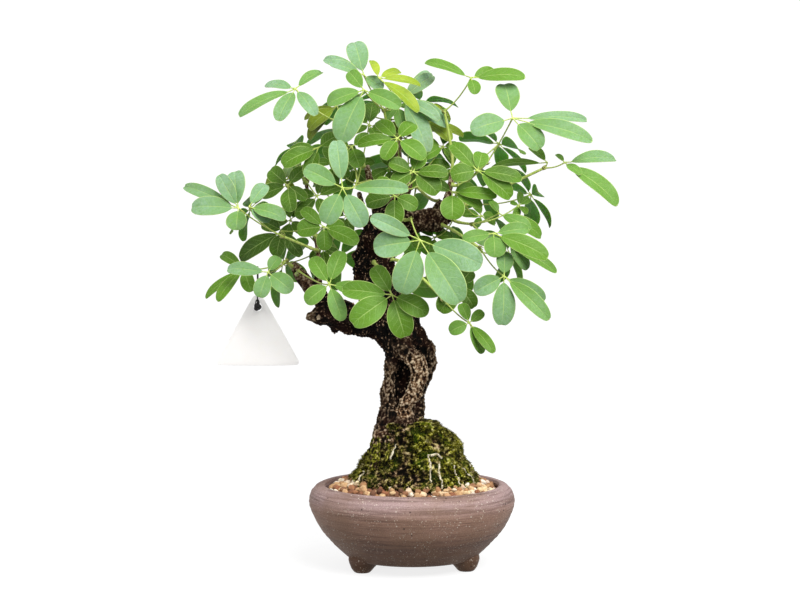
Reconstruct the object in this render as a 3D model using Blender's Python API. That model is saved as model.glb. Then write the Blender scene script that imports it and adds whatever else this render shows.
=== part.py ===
"""A chocolate vine grown as a bonsai in a round stoneware pot, in metres, +Z up.

The origin is on the ground under the middle of the plant. -Y is the front. The pot holds a drain
mesh, soil, a ring of gravel and a mossy mound of roots. The old trunk stands in a plain hole in the
mound and the soil. Leafy sprays grow from the wood, each a green shoot with palmate leaves. A blank
tag hangs from a leaf stalk by a loop of cord.
"""

import math
import random

import bpy
from mathutils import Matrix, Vector, noise
from mathutils.bvhtree import BVHTree

# Driving dimensions, in millimetres
MM = 0.001
GAP = 0.3
POT_ACROSS = 9.0
POT_SEGMENTS = 30
POT_OUTER = [
    (47.5, 8.4), (50.5, 10.4), (60.5, 20), (70.2, 32), (77, 47), (76.2, 56), (72.5, 61), (69, 62.8),
]
POT_INNER = [(65.2, 60.6), (67.2, 54), (70, 46), (66, 36), (56, 22.5), (44, 14.5)]
DRAIN_RADIUS = 7.0
FOOT_RADIUS_ON_POT = 44.0
FOOT_ANGLES = (-57, 66, 185)
FOOT_PROFILE = [(5.5, 0), (8, 1.6), (10, 5.5), (9.5, 13.2)]
FOOT_SEGMENTS = 10
MESH_HALF = 13.0
MESH_THICKNESS = 1.2
MESH_BAR_HALF = 1.2
MESH_BAR_PLACES = (-1, 0, 1)
SOIL_TOP = 54.0
TRUNK_FOOT = (2.0, 0.0)
TRUNK_FOOT_RADIUS = 16.0
TRUNK_FOOT_BOTTOM = 46.0
MOUND_RINGS = [
    (11, 54.3, 45.5), (11, 65, 46.2), (10.5, 71, 45.5), (11, 80, 39.5),
    (12.5, 88, 34.5), (12, 96, 30.5), (8.5, 104, 26), (5.5, 109.5, 21.5),
]
MOUND_SEGMENTS = 22
GRAVEL_INNER = (11.0, 48.3)
GRAVEL_OUTER = (9.0, 64.2)
GRAVEL_BOTTOM = 54.3
GRAVEL_INNER_UP = 64.6
GRAVEL_OUTER_UP = 58.2
GRAVEL_CELLS = 32
GRAVEL_ROWS = 3
STONE_HEIGHTS = (1.8, 3.4)
STONE_TOP_SHARE = 0.62

# Leaves and shoots, in millimetres
BLADE_THICKNESS = 0.7
SHOOT_RADIUS = 1.25
PETIOLE_RADIUS = 0.75
PETIOLULE_HALF = 0.6
HUB_RADIUS = 1.1
SHORT_BLADE = 21.0
LEAF_DROOP = 0.12
CLEAR_THICKNESS = 2.6
CROWN_MIDDLE = (0.0, 0.0, 262.0)
FAR_LEAFLET_LENGTHS = (27, 36)
PETIOLE_BENDS = (6, 12, 20)
PUSH_STEP = 3
PUSH_LIMIT = 45

# Tag and its tie, in millimetres; the outline is the right half, from the hole
TAG_ACROSS = -107.0
TAG_HOLE_UP = 196.0
TAG_HOLE_RADIUS = 3.2
TAG_THICKNESS = 0.8
TAG_HALF_OUTLINE = [(0, 9), (2.9, 8.3), (4.8, 5.6), (30.2, -39.5), (30.8, -42), (28.8, -44)]
TIE_RADIUS = 0.55
TIE_HALF_WIDTH = 2.5
KNOT_RADIUS = 2.5

# The point that the front is seen from: leaves are listed by where they look to be from there
EYE = Vector((0.0, -1333.0, 263.0))

# Limbs of the trunk: points along each limb as (across, depth, up, radius)
STRANDS = [
    [(3, 6, 115, 10.5), (4, 8.5, 126, 10), (7, 9, 142, 9.5), (12, 5, 157, 12), (6, 3, 173, 15)],
    [(-5, -2, 113, 9), (-7, -4, 126, 7), (-6, -5, 138, 6.5), (-3, -5, 150, 6.5), (-2, -4, 163, 9),
     (-9, -2, 182, 13)],
    [(7, -5, 115, 9), (7, -7.5, 123, 8), (10, -9, 131, 8), (13, -8, 141, 7), (16, -7, 150, 6.5),
     (12, -8, 159, 6.5), (5, -6, 168, 8)],
    [(14, 4, 128, 6), (19, 2, 141, 6.5), (22, 1, 151, 6), (20.5, 2, 161, 7.5), (15, 3, 172, 9),
     (8, 2, 183, 11)],
]
LIMBS = [
    [(6, 0, 168, 16), (-5, 0, 184, 16.5), (-14, 1, 198, 16), (-19, 2, 214, 14.5), (-20, 1, 231, 14.5),
     (-17, 0, 247, 14), (-10, 0, 259, 12.5), (-3, 1, 270, 9), (3, 2, 281, 6.5), (5, 2, 290, 4)],
    [(-6, 0, 186, 12), (-27, -1, 186, 11), (-45, -2, 189, 11), (-56, -2, 190, 8.5), (-65, -3, 189, 5.5),
     (-70, -3, 190, 3)],
    [(-48, 0, 194, 8), (-60, 0, 203, 6.5), (-68, 1, 211, 6), (-75, 2, 220, 5), (-81, 2, 229, 3)],
    [(-10, 0, 250, 9), (4, 0, 258, 8.5), (16, 0, 261, 8), (28, 0, 262, 8.5), (36, 1, 266, 5.5)],
    [(-13, 1, 258, 7), (-20, 3, 279, 3.6), (-25, 2, 302, 2.2)],
    [(3, 2, 280, 5), (-1, 3, 306, 2.8), (0, 4, 326, 1.8)],
    [(31, 0, 262, 5), (36, 3, 280, 2.8), (39, 4, 297, 1.8)],
    [(-63, 0, 198, 4.5), (-61, 4, 231, 2), (-67, 5, 266, 1.8), (-71, 4, 294, 1.4)],
    [(-18, 6, 240, 6), (-26, 34, 262, 3.2), (-32, 58, 282, 2)],
    [(4, 5, 250, 6), (20, 34, 262, 3.2), (32, 58, 276, 2)],
    [(-16, 6, 212, 6), (-14, 30, 216, 3), (-8, 48, 222, 2)],
]
ROOTS = [
    [(20, -14, 106, 2.6), (25, -25, 92, 2), (26, -34, 79, 1.6), (27, -38, 71, 1.2)],
    [(27, -16, 98, 2), (34, -27, 87, 1.6), (34, -34, 78, 1.4), (37, -37, 71, 1)],
    [(-16, -12, 104, 3.2), (-18, -21, 92, 2.6), (-21, -27, 81, 2), (-24, -30, 72, 1.4)],
    [(-18, 5, 102, 3.5), (-21, 6, 90, 3.2), (-29, 7, 78, 2.4), (-34, 8, 71, 1.4)],
    [(5, -21.5, 104, 3.2), (3, -30, 92, 2.4), (5, -37, 80, 1.8), (3, -41, 72, 1.2)],
    [(8, 20, 106, 4), (12, 31, 92, 3), (16, 38, 80, 2.4), (19, 43, 71, 1.4)],
]

# Each spray: the wood it grows from, the end of its shoot, and its leaves. A leaf is its hub (across,
# depth, up), the way it faces (turn to the right, tilt up, in degrees), and its leaflets as
# (tip across, tip up, width) from the hub, as seen from the front.
SPRAYS = {
    "spray_left_low": ((-80, 2, 225), (-85, -8, 231), [
        ((-117, -12, 225), (-25, 35), [(-31, -20, 8), (-18, -25, 11), (6, -16, 11), (-20, 12, 9)]),
        ((-99, -36, 222), (-5, 25), [(-32, 4, 11), (-6, -18, 13), (18, -13, 15), (8, 12, 10)]),
    ]),
    "spray_left_tip": ((-62, 3, 238), (-88, -14, 249), [
        ((-121, -30, 270), (-15, 25),
         [(-46, 20, 10), (-36, 0, 16), (-5, 30, 16), (-14, 23, 12), (-1, -16, 16)]),
        ((-113, -34, 271), (15, 35), [(12, 19, 11), (17, -9, 15), (27, -13, 14)]),
    ]),
    "spray_left_mid": ((-62, 4, 248), (-72, -4, 254), [
        ((-88, 4, 253), (-20, 20), [(-35, -20, 15), (-16, 8, 13), (-5, -19, 13), (14, -18, 10)]),
        ((-57, -42, 256), (5, 25),
         [(-20, -2, 15), (16, -2, 13), (26, -15, 13), (-17, 13, 10), (1, -17, 12)]),
    ]),
    "spray_left_high": ((-70, 4, 287), (-76, -2, 300), [
        ((-84, -10, 287), (-20, 20),
         [(-15, 13, 13), (-21, -7, 12), (14, -10, 9), (6, -22, 13), (12, 14, 11)]),
        ((-61, -22, 315), (-15, 25), [(-24, -3, 12), (-26, -16, 15), (-8, -22, 12), (14, 10, 12)]),
    ]),
    "spray_crown_left": ((-25, 2, 299), (-46, -4, 334), [
        ((-78, -14, 359), (-10, 45),
         [(-43, -17, 12), (-12, -23, 14), (-24, 6, 10), (16, -19, 11), (19, 16, 10)]),
        ((-47, 6, 346), (-30, 30), [(-27, -7, 8), (-21, -18, 15), (-27, -21, 12)]),
    ]),
    "spray_crown": ((0, 4, 322), (-12, -4, 343), [
        ((-27, -16, 369), (-5, 30), [(-8, 29, 16), (-31, 16, 10), (-26, 7, 9), (14, -10, 10)]),
        ((-27, -42, 358), (-15, 25), [(-18, -37, 24), (-27, -11, 13), (27, -12, 13), (-12, 16, 11)]),
        ((-16, -26, 367), (20, 45), [(-5, 16, 7), (17, 8, 8), (33, -2, 9), (31, -23, 12)]),
        ((2, -2, 352), (20, 30),
         [(36, -18, 15), (26, -21, 11), (20, -39, 18), (22, 24, 9), (22, 15, 11)]),
    ]),
    "spray_crown_right": ((39, 4, 294), (33, 2, 342), [
        ((53, -12, 367), (5, 40), [(-34, 16, 10), (3, -12, 10), (20, 6, 12), (40, -5, 14)]),
        ((19, 12, 334), (15, 40), [(30, -8, 9), (19, -15, 12), (8, 16, 12), (-14, 12, 12)]),
    ]),
    "spray_right_high": ((37, 3, 286), (65, -12, 304), [
        ((84, -30, 337), (8, 28),
         [(-5, 29, 18), (-31, -8, 18), (21, -22, 18), (59, 3, 9), (59, -18, 14)]),
    ]),
    "spray_right_tip": ((35, 0, 265), (108, -16, 300), [
        ((123, -22, 304), (20, 40), [(43, 7, 12), (41, -28, 18), (10, -12, 9), (-6, 7, 5)]),
        ((110, -10, 304), (-10, 50), [(-43, 0, 9), (-12, 14, 8)]),
    ]),
    "spray_right_mid": ((34, -4, 267), (44, -26, 284), [
        ((58, -50, 298), (10, 25),
         [(-20, -3, 15), (26, -19, 15), (33, -7, 12), (-19, 22, 13), (4, 15, 12)]),
        ((39, -44, 282), (5, 25), [(0, -20, 18), (23, -10, 9), (33, -6, 10), (20, 4, 12), (-14, 8, 9)]),
    ]),
    "spray_right_low": ((36, 0, 263), (54, -12, 258), [
        ((74, -18, 266), (25, 30), [(35, -15, 14), (22, -15, 12), (-6, 10, 7)]),
        ((70, -42, 251), (15, 25),
         [(1, -17, 17), (43, -14, 13), (39, -22, 16), (27, 3, 11), (-23, -3, 10)]),
        ((81, -6, 243), (20, 20), [(16, -18, 11), (34, -24, 9), (-24, 5, 12)]),
    ]),
    "spray_right_drop": ((30, -6, 258), (60, -26, 240), [
        ((78, -46, 219), (10, 15),
         [(-1, -36, 17), (32, -18, 13), (32, -35, 13), (-22, -11, 14), (1, 19, 13)]),
    ]),
    "spray_low_right": ((-6, -10, 231), (32, -30, 202), [
        ((52, -36, 184), (5, 20), [(-15, -6, 11), (10, -22, 9), (18, -24, 9), (11, 9, 8), (-6, 15, 9)]),
        ((44, -22, 212), (5, 20), [(-14, -19, 15), (12, -16, 12), (10, 12, 12)]),
    ]),
    "spray_front": ((-2, -8, 262), (8, -52, 262), [
        ((15, -96, 246), (0, 12),
         [(-35, -5, 19), (-14, -39, 21), (30, -47, 25), (47, -17, 21), (-37, 17, 12)]),
    ]),
    "spray_front_low": ((-20, -10, 230), (-12, -48, 224), [
        ((-6, -84, 205), (0, 15),
         [(-38, 5, 14), (-30, -22, 19), (10, -31, 18), (27, -14, 15), (-14, 22, 13)]),
    ]),
    "spray_front_left": ((-77, 0, 220), (-76, -16, 223), [
        ((-53, -66, 213), (-5, 20),
         [(-14, 21, 12), (9, 26, 13), (-18, -13, 13), (10, -26, 12), (29, -5, 11)]),
    ]),
    "spray_centre_left": ((-22, 2, 290), (-32, -26, 288), [
        ((-43, -76, 285), (0, 15),
         [(-5, 38, 14), (-29, 16, 14), (-13, -26, 16), (16, -28, 16), (50, 1, 11)]),
        ((-36, -22, 316), (-10, 30), [(6, -15, 13), (-15, -16, 13), (-20, 5, 12), (14, 9, 11)]),
    ]),
    "spray_centre": ((2, -3, 282), (2, -28, 284), [
        ((-4, -58, 279), (0, 20), [(-22, -5, 13), (0, -21, 14), (17, -8, 12), (-14, 14, 12)]),
        ((10, -46, 297), (5, 30),
         [(-16, -9, 13), (19, -15, 17), (26, -4, 11), (-19, 5, 12), (6, 14, 12)]),
        ((-2, -28, 322), (0, 35),
         [(-30, -3, 11), (-10, -15, 12), (20, -14, 14), (-15, 15, 12), (13, 13, 12)]),
    ]),
}

# The first leaf of this spray carries the tag
TAG_SPRAY = "spray_left_low"

# Sprays on the far side: the wood, the end of the shoot, and the hubs of leaves grown by rule
FAR_SPRAYS = {
    "spray_far_top": ((0, 5, 318), (-8, 22, 336), [(-34, 38, 350), (16, 48, 350)]),
    "spray_far_right_high": ((38, 6, 286), (46, 28, 300), [(74, 42, 318)]),
    "spray_far_right": ((31, 55, 273), (52, 58, 274), [(98, 48, 280), (62, 84, 284)]),
    "spray_far_right_low": ((22, 40, 264), (50, 36, 240), [(82, 40, 236), (40, 72, 232)]),
    "spray_far_middle": ((31, 56, 275), (12, 70, 286), [(10, 86, 304), (8, 98, 262)]),
    "spray_far_left_low": ((-28, 44, 270), (-52, 50, 246), [(-46, 78, 234), (-88, 44, 228)]),
    "spray_far_left": ((-66, 6, 264), (-86, 24, 270), [(-112, 38, 270)]),
    "spray_far_left_high": ((-70, 5, 290), (-62, 30, 304), [(-74, 54, 314), (-36, 82, 296)]),
    "spray_far_low": ((-9, 46, 221), (0, 56, 220), [(0, 78, 212)]),
}

COLOURS = {
    "stoneware": ((0.26, 0.17, 0.14), 0.72),
    "drain_plastic": ((0.02, 0.02, 0.02), 0.5),
    "soil": ((0.08, 0.05, 0.03), 0.95),
    "gravel": ((0.62, 0.45, 0.27), 0.85),
    "moss": ((0.13, 0.17, 0.03), 0.95),
    "bark": ((0.05, 0.035, 0.025), 0.9),
    "leaf": ((0.17, 0.38, 0.09), 0.45),
    "tag_plastic": ((0.9, 0.9, 0.88), 0.4),
    "tag_cord": ((0.01, 0.01, 0.01), 0.6),
}


def remove_scene_objects():
    for item in list(bpy.data.objects):
        bpy.data.objects.remove(item, do_unlink=True)


def material(name):
    """One Principled material for each finish, made once."""
    if name in bpy.data.materials:
        return bpy.data.materials[name]
    colour, roughness = COLOURS[name]
    made = bpy.data.materials.new(name)
    made.use_nodes = True
    shader = made.node_tree.nodes["Principled BSDF"]
    shader.inputs["Base Color"].default_value = (*colour, 1)
    shader.inputs["Roughness"].default_value = roughness
    return made


def add_object(name, shape, finish=None):
    """An object from (points in millimetres, faces)."""
    points, faces = shape
    mesh = bpy.data.meshes.new(name)
    mesh.from_pydata([Vector(point) * MM for point in points], [], faces)
    item = bpy.data.objects.new(name, mesh)
    bpy.context.scene.collection.objects.link(item)
    if finish:
        mesh.materials.append(material(finish))
    return item


def shade_round(item, sharp_degrees=35):
    item.data.shade_smooth()
    item.data.set_sharp_from_angle(angle=math.radians(sharp_degrees))


def union(name, shapes, finish):
    """One solid from overlapping closed shapes: a Boolean on a collection, applied."""
    body = add_object(name, shapes[0], finish)
    repeats = bpy.data.collections.new(name + "_repeats")
    for index, shape in enumerate(shapes[1:]):
        piece = add_object(f"{name}_{index}", shape)
        bpy.context.scene.collection.objects.unlink(piece)
        repeats.objects.link(piece)
    join = body.modifiers.new("join", "BOOLEAN")
    join.operation = "UNION"
    join.operand_type = "COLLECTION"
    join.collection = repeats
    apply_modifiers(body)
    for piece in list(repeats.objects):
        bpy.data.objects.remove(piece, do_unlink=True)
    bpy.data.collections.remove(repeats)
    return body


def apply_modifiers(item):
    graph = bpy.context.evaluated_depsgraph_get()
    mesh = bpy.data.meshes.new_from_object(item.evaluated_get(graph))
    item.modifiers.clear()
    item.data = mesh


def tree_of(shape):
    points, faces = shape
    return BVHTree.FromPolygons([Vector(point) for point in points], faces)


def tree_of_object(item):
    points = [vertex.co / MM for vertex in item.data.vertices]
    return BVHTree.FromPolygons(points, [tuple(face.vertices) for face in item.data.polygons])


def ring(across, depth, up, radius, segments):
    """Points of a level circle, counterclockwise from above."""
    turn = 2 * math.pi / segments
    return [
        (across + radius * math.cos(i * turn), depth + radius * math.sin(i * turn), up)
        for i in range(segments)
    ]


def skin(rings, closed):
    """Joins rings of points into a surface; a ring of one point is a pole."""
    points = [point for loop in rings for point in loop]
    starts = [sum(len(loop) for loop in rings[:i]) for i in range(len(rings))]
    pairs = list(zip(range(len(rings)), range(1, len(rings))))
    if closed:
        pairs.append((len(rings) - 1, 0))
    faces = []
    for a, b in pairs:
        faces += band(starts[a], len(rings[a]), starts[b], len(rings[b]))
    return points, faces


def band(start_a, count_a, start_b, count_b):
    """Triangles between two rings, facing out where the second lies above the first."""
    count = max(count_a, count_b)
    faces = []
    for i in range(count):
        j = (i + 1) % count
        a, a_next = start_a + i % count_a, start_a + j % count_a
        b, b_next = start_b + i % count_b, start_b + j % count_b
        if count_a > 1:
            faces.append((a, a_next, b_next))
        if count_b > 1:
            faces.append((a, b_next, b))
    return faces


def catmull(points, steps):
    """A smooth run through the points, with so many steps between each two."""
    values = [Vector(point) for point in points]
    run = []
    for i in range(len(values) - 1):
        before = values[max(i - 1, 0)]
        start, end = values[i], values[i + 1]
        after = values[min(i + 2, len(values) - 1)]
        for step in range(steps):
            t = step / steps
            run.append(catmull_point(before, start, end, after, t))
    run.append(values[-1])
    return run


def catmull_point(before, start, end, after, t):
    return 0.5 * (
        2 * start
        + (end - before) * t
        + (2 * before - 5 * start + 4 * end - after) * t * t
        + (3 * start - before - 3 * end + after) * t * t * t
    )


def tube(path, radii, sides, rough=0.0):
    """A closed tube along a path, whose wall may wander in and out like bark."""
    rings = []
    tangent = (path[1] - path[0]).normalized()
    side = tangent.orthogonal().normalized()
    for i, centre in enumerate(path):
        ahead = path[min(i + 1, len(path) - 1)] - path[max(i - 1, 0)]
        if i == 1:
            ahead = path[1] - path[0]
        turned = tangent.rotation_difference(ahead.normalized())
        side = turned @ side
        tangent = ahead.normalized()
        rings.append(tube_ring(centre, tangent, side, radii[i], sides, rough))
    rings = [[path[0]]] + rings + [[path[-1]]]
    return skin(rings, closed=False)


def tube_ring(centre, tangent, side, radius, sides, rough):
    loop = []
    for k in range(sides):
        spoke = Matrix.Rotation(2 * math.pi * k / sides, 3, tangent) @ side
        wander = 1 + rough * noise.noise((centre + spoke * radius) * 0.13)
        loop.append(centre + spoke * radius * wander)
    return loop


def limb(points, sides, steps=2, rough=0.0):
    run = catmull(points, steps)
    path = [value.xyz for value in run]
    radii = [value.w for value in run]
    return tube(path, radii, sides, rough)


# Pot, drain mesh, soil and gravel


def make_pot():
    bottom, floor = POT_OUTER[0][1], POT_INNER[-1][1]
    profile = [(DRAIN_RADIUS, bottom), *POT_OUTER, *POT_INNER, (DRAIN_RADIUS, floor)]
    rings = [ring(POT_ACROSS, 0, up, radius, POT_SEGMENTS) for radius, up in profile]
    feet = [foot(angle) for angle in FOOT_ANGLES]
    pot = union("pot", [skin(rings, closed=True), *feet], "stoneware")
    shade_round(pot)


def foot(angle):
    turn = math.radians(angle - 90)
    across = POT_ACROSS + FOOT_RADIUS_ON_POT * math.cos(turn)
    depth = FOOT_RADIUS_ON_POT * math.sin(turn)
    rings = [ring(across, depth, up, radius, FOOT_SEGMENTS) for radius, up in FOOT_PROFILE]
    bottom, top = FOOT_PROFILE[0][1], FOOT_PROFILE[-1][1]
    return skin([[(across, depth, bottom)], *rings, [(across, depth, top)]], closed=False)


def box(low, high):
    """A block between two corners."""
    lower = [(low[0], low[1]), (high[0], low[1]), (high[0], high[1]), (low[0], high[1])]
    points = [(x, y, low[2]) for x, y in lower] + [(x, y, high[2]) for x, y in lower]
    faces = [(0, 3, 2, 1), (4, 5, 6, 7), (0, 1, 5, 4), (1, 2, 6, 5), (2, 3, 7, 6), (3, 0, 4, 7)]
    return points, faces


def make_drain_mesh():
    """A square of plastic mesh over the drain hole: bars one way fused to bars the other way."""
    bottom = POT_INNER[-1][1] + GAP
    top = bottom + MESH_THICKNESS
    inset = 0.1
    bars = []
    for step in MESH_BAR_PLACES:
        place = step * (MESH_HALF - MESH_BAR_HALF)
        low = (POT_ACROSS + place - MESH_BAR_HALF, -MESH_HALF, bottom)
        high = (POT_ACROSS + place + MESH_BAR_HALF, MESH_HALF, top)
        bars.append(box(low, high))
    for step in MESH_BAR_PLACES:
        place = step * (MESH_HALF - MESH_BAR_HALF)
        low = (POT_ACROSS - MESH_HALF + inset, place - MESH_BAR_HALF + inset, bottom + inset)
        high = (POT_ACROSS + MESH_HALF - inset, place + MESH_BAR_HALF - inset, top - inset)
        bars.append(box(low, high))
    union("drain_mesh", bars, "drain_plastic")


def make_soil():
    """Fills the pot to below the gravel, with a plain hole for the foot of the trunk."""
    floor = POT_INNER[-1][1] + GAP
    over_mesh = floor + MESH_THICKNESS + GAP
    mesh_reach = MESH_HALF * math.sqrt(2) + 1
    wall = [(radius - 2 * GAP, up + GAP) for radius, up in reversed(POT_INNER[1:])]
    wall[-1] = (wall[-1][0], SOIL_TOP)
    hole = TRUNK_FOOT_RADIUS + GAP
    hole_bottom = TRUNK_FOOT_BOTTOM - GAP
    rings = [[(POT_ACROSS, 0, over_mesh)]]
    rings.append(ring(POT_ACROSS, 0, over_mesh, mesh_reach, POT_SEGMENTS))
    rings.append(ring(POT_ACROSS, 0, floor, mesh_reach + 1, POT_SEGMENTS))
    rings += [ring(POT_ACROSS, 0, up, radius, POT_SEGMENTS) for radius, up in wall]
    rings.append(ring(*TRUNK_FOOT, SOIL_TOP, hole, POT_SEGMENTS))
    rings.append(ring(*TRUNK_FOOT, hole_bottom, hole, POT_SEGMENTS))
    rings.append([(*TRUNK_FOOT, hole_bottom)])
    add_object("soil", skin(rings, closed=False), "soil")


def gravel_corner(row, cell, chance):
    """A corner between stones, which lie heaped from the wall of the pot up against the mound."""
    share = row / GRAVEL_ROWS
    centre = GRAVEL_INNER[0] * (1 - share) + GRAVEL_OUTER[0] * share
    radius = GRAVEL_INNER[1] * (1 - share) + GRAVEL_OUTER[1] * share
    up = GRAVEL_INNER_UP * (1 - share) + GRAVEL_OUTER_UP * share
    angle = 2 * math.pi * (cell + 0.5 * (row % 2)) / GRAVEL_CELLS
    if 0 < row < GRAVEL_ROWS:
        angle += chance.uniform(-0.025, 0.025)
        radius += chance.uniform(-0.8, 0.8)
    return Vector((centre + radius * math.cos(angle), radius * math.sin(angle), up))


def make_gravel():
    """A ring of stones, each raised from its cell of the surface."""
    chance = random.Random(5)
    rows = range(GRAVEL_ROWS + 1)
    points = [gravel_corner(row, cell, chance) for row in rows for cell in range(GRAVEL_CELLS)]
    outer_edge = GRAVEL_ROWS * GRAVEL_CELLS
    inner_start = len(points)
    outer_start = inner_start + GRAVEL_CELLS
    for edge in (points[:GRAVEL_CELLS], points[outer_edge:]):
        points += [Vector((corner.x, corner.y, GRAVEL_BOTTOM)) for corner in edge]
    faces = band(inner_start, GRAVEL_CELLS, outer_start, GRAVEL_CELLS)
    faces += band(outer_start, GRAVEL_CELLS, outer_edge, GRAVEL_CELLS)
    faces += band(0, GRAVEL_CELLS, inner_start, GRAVEL_CELLS)
    for row in range(GRAVEL_ROWS):
        for cell in range(GRAVEL_CELLS):
            after = (cell + 1) % GRAVEL_CELLS
            near, far = row * GRAVEL_CELLS, (row + 1) * GRAVEL_CELLS
            raise_stone(points, faces, (near + cell, far + cell, far + after, near + after), chance)
    gravel = add_object("gravel", (points, faces), "gravel")
    shade_round(gravel, 60)


def raise_stone(points, faces, cell, chance):
    """A stone's flat-topped bump inside a cell of four corners, turned outward and up."""
    middle = sum((points[i] for i in cell), Vector()) / 4
    height = chance.uniform(*STONE_HEIGHTS)
    first = len(points)
    for corner in cell:
        lift = height + chance.uniform(-0.4, 0.4)
        points.append(middle.lerp(points[corner], STONE_TOP_SHARE) + Vector((0, 0, lift)))
    for k in range(4):
        k_next = (k + 1) % 4
        faces.append((cell[k], cell[k_next], first + k_next))
        faces.append((cell[k], first + k_next, first + k))
    faces.append((first, first + 1, first + 2))
    faces.append((first, first + 2, first + 3))


# Mound and trunk


def mound_ring(across, up, radius):
    """One level of the mound, lumpy above the gravel."""
    points = []
    lumpy = min(1.0, max(0.0, (up - 66) / 10)) * min(1.0, max(0.0, (112 - up) / 8))
    for point in ring(across, 0, up, radius, MOUND_SEGMENTS):
        out = Vector((point[0] - across, point[1], 0)).normalized()
        bump = 3.2 * lumpy * noise.noise(Vector(point) * 0.09)
        points.append(Vector(point) + out * bump)
    return points


def make_mound():
    """The mossy root ball, with a plain hole for the trunk and the surface roots fused on."""
    hole = TRUNK_FOOT_RADIUS + GAP
    rings = [mound_ring(*level) for level in MOUND_RINGS]
    rings.append(ring(*TRUNK_FOOT, MOUND_RINGS[-1][1] + 0.8, hole, MOUND_SEGMENTS))
    rings.append(ring(*TRUNK_FOOT, MOUND_RINGS[0][1], hole, MOUND_SEGMENTS))
    roots = [limb(points, 4, steps=1) for points in ROOTS]
    mound = union("moss_mound", [skin(rings, closed=True), *roots], "moss")
    shade_round(mound, 50)


def make_trunk():
    """Foot, twisted strands, upper mass, the arm to the left and the woody twigs, grown as one."""
    top = MOUND_RINGS[-1][1] + 4
    levels = [TRUNK_FOOT_BOTTOM, top]
    foot_rings = [ring(*TRUNK_FOOT, up, TRUNK_FOOT_RADIUS, MOUND_SEGMENTS) for up in levels]
    poles = [[(*TRUNK_FOOT, up)] for up in levels]
    shapes = [skin([poles[0], *foot_rings, poles[1]], closed=False)]
    shapes += [limb(points, 7, steps=1, rough=0.5) for points in STRANDS]
    for points in LIMBS:
        thick = max(point[3] for point in points) > 8
        shapes.append(limb(points, 8 if thick else 4, steps=1, rough=0.5 if thick else 0.15))
    trunk = union("trunk", shapes, "bark")
    shade_round(trunk, 60)
    return tree_of_object(trunk)


# Leaves


def seen(place):
    """The real place of a point that looks to be at (across, up) from the front, at a depth."""
    across, depth, up = place
    plane = Vector((across, 0, up))
    return EYE + (plane - EYE) * (1 + depth / -EYE.y)


def facing(turn, tilt):
    """The way a leaf faces: to the front, turned to the right and tilted up."""
    turn, tilt = math.radians(turn), math.radians(tilt)
    return Vector((math.sin(turn) * math.cos(tilt), -math.cos(turn) * math.cos(tilt), math.sin(tilt)))


def leaf_from_view(hub, face, leaflets):
    """Leaflets keep where they look to be from the front, and lie in the plane of the leaf."""
    normal = facing(*face)
    scale = 1 + hub[1] / -EYE.y
    tips = []
    for across, up, width in leaflets:
        flat = Vector((across, 0, up)) * scale
        lean = -flat.dot(normal) / normal.y
        limit = 0.8 * flat.length
        tip = flat + Vector((0, max(-limit, min(limit, lean)), 0))
        tips.append((tip - normal * LEAF_DROOP * flat.length, width))
    place = seen(hub)
    return place, normal, spread(place, normal, tips)


def leaf_by_rule(hub, chance):
    """Five leaflets round the hub of a leaf that faces out from the middle of the crown."""
    place = seen(hub)
    normal = ((place - Vector(CROWN_MIDDLE)).normalized() + Vector((0, 0, 0.55))).normalized()
    side = normal.orthogonal().normalized()
    spin = chance.uniform(0, 360)
    tips = []
    for step in range(5):
        angle = math.radians(spin + 72 * step + chance.uniform(-9, 9))
        length = chance.uniform(*FAR_LEAFLET_LENGTHS)
        out = Matrix.Rotation(angle, 3, normal) @ side
        tips.append(((out - normal * 0.22) * length, length * chance.uniform(0.42, 0.5)))
    return place, normal, spread(place, normal, tips)


def blade_edges(hub, tip, normal, width):
    """Right and left edge points of an obovate leaflet, from the end of its petiolule to its tip."""
    axis = (tip - hub).normalized()
    side = axis.cross(normal).normalized()
    face = side.cross(axis)
    reach = (tip - hub).length
    stem = min(6.5, 0.2 * reach)
    half = width / 2
    arch = 0.06 * reach
    long_blade = [(0.32, 0.84 * half, arch), (0.7, half, arch), (1, 0.44 * half, -0.4 * arch)]
    short_blade = [(0.5, half, arch), (1, 0.5 * half, -0.4 * arch)]
    levels = [(0, PETIOLULE_HALF, 0)] + (long_blade if reach > SHORT_BLADE else short_blade)
    pairs = []
    for share, half_width, lift in levels:
        middle = hub + axis * (stem + share * (reach - stem)) + face * lift
        pairs.append((middle + side * half_width, middle - side * half_width))
    return pairs, face


def blade_guard(hub, tip, normal, width, thickness):
    """A thick copy of one leaflet, to keep its neighbours clear of it."""
    pairs, face = blade_edges(hub, tip, normal, width)
    line = [point for pair in pairs for point in pair]
    top = []
    for row in range(0, len(line) - 2, 2):
        top += [(row, row + 2, row + 3), (row, row + 3, row + 1)]
    rim = tuple(range(0, len(line), 2)) + tuple(range(len(line) - 1, 0, -2))
    return slab(line, top, rim, [face * thickness / 2] * len(line))


def round_order(normal, tips):
    """The leaflets in order round the hub, each with its angle there."""
    east = normal.orthogonal().normalized()
    north = normal.cross(east)
    turned = []
    for tip, width in tips:
        angle = math.atan2(tip.dot(north), tip.dot(east)) % (2 * math.pi)
        turned.append((angle, tip, width))
    return east, north, sorted(turned, key=lambda entry: entry[0])


def hub_corners(hub, east, north, angles):
    """A corner of the hub halfway between each leaflet and the next."""
    corners = []
    for here, after in zip(angles, angles[1:] + angles[:1]):
        between = here + ((after - here) % (2 * math.pi) or 2 * math.pi) / 2
        corners.append(hub + (east * math.cos(between) + north * math.sin(between)) * HUB_RADIUS)
    return corners


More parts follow.
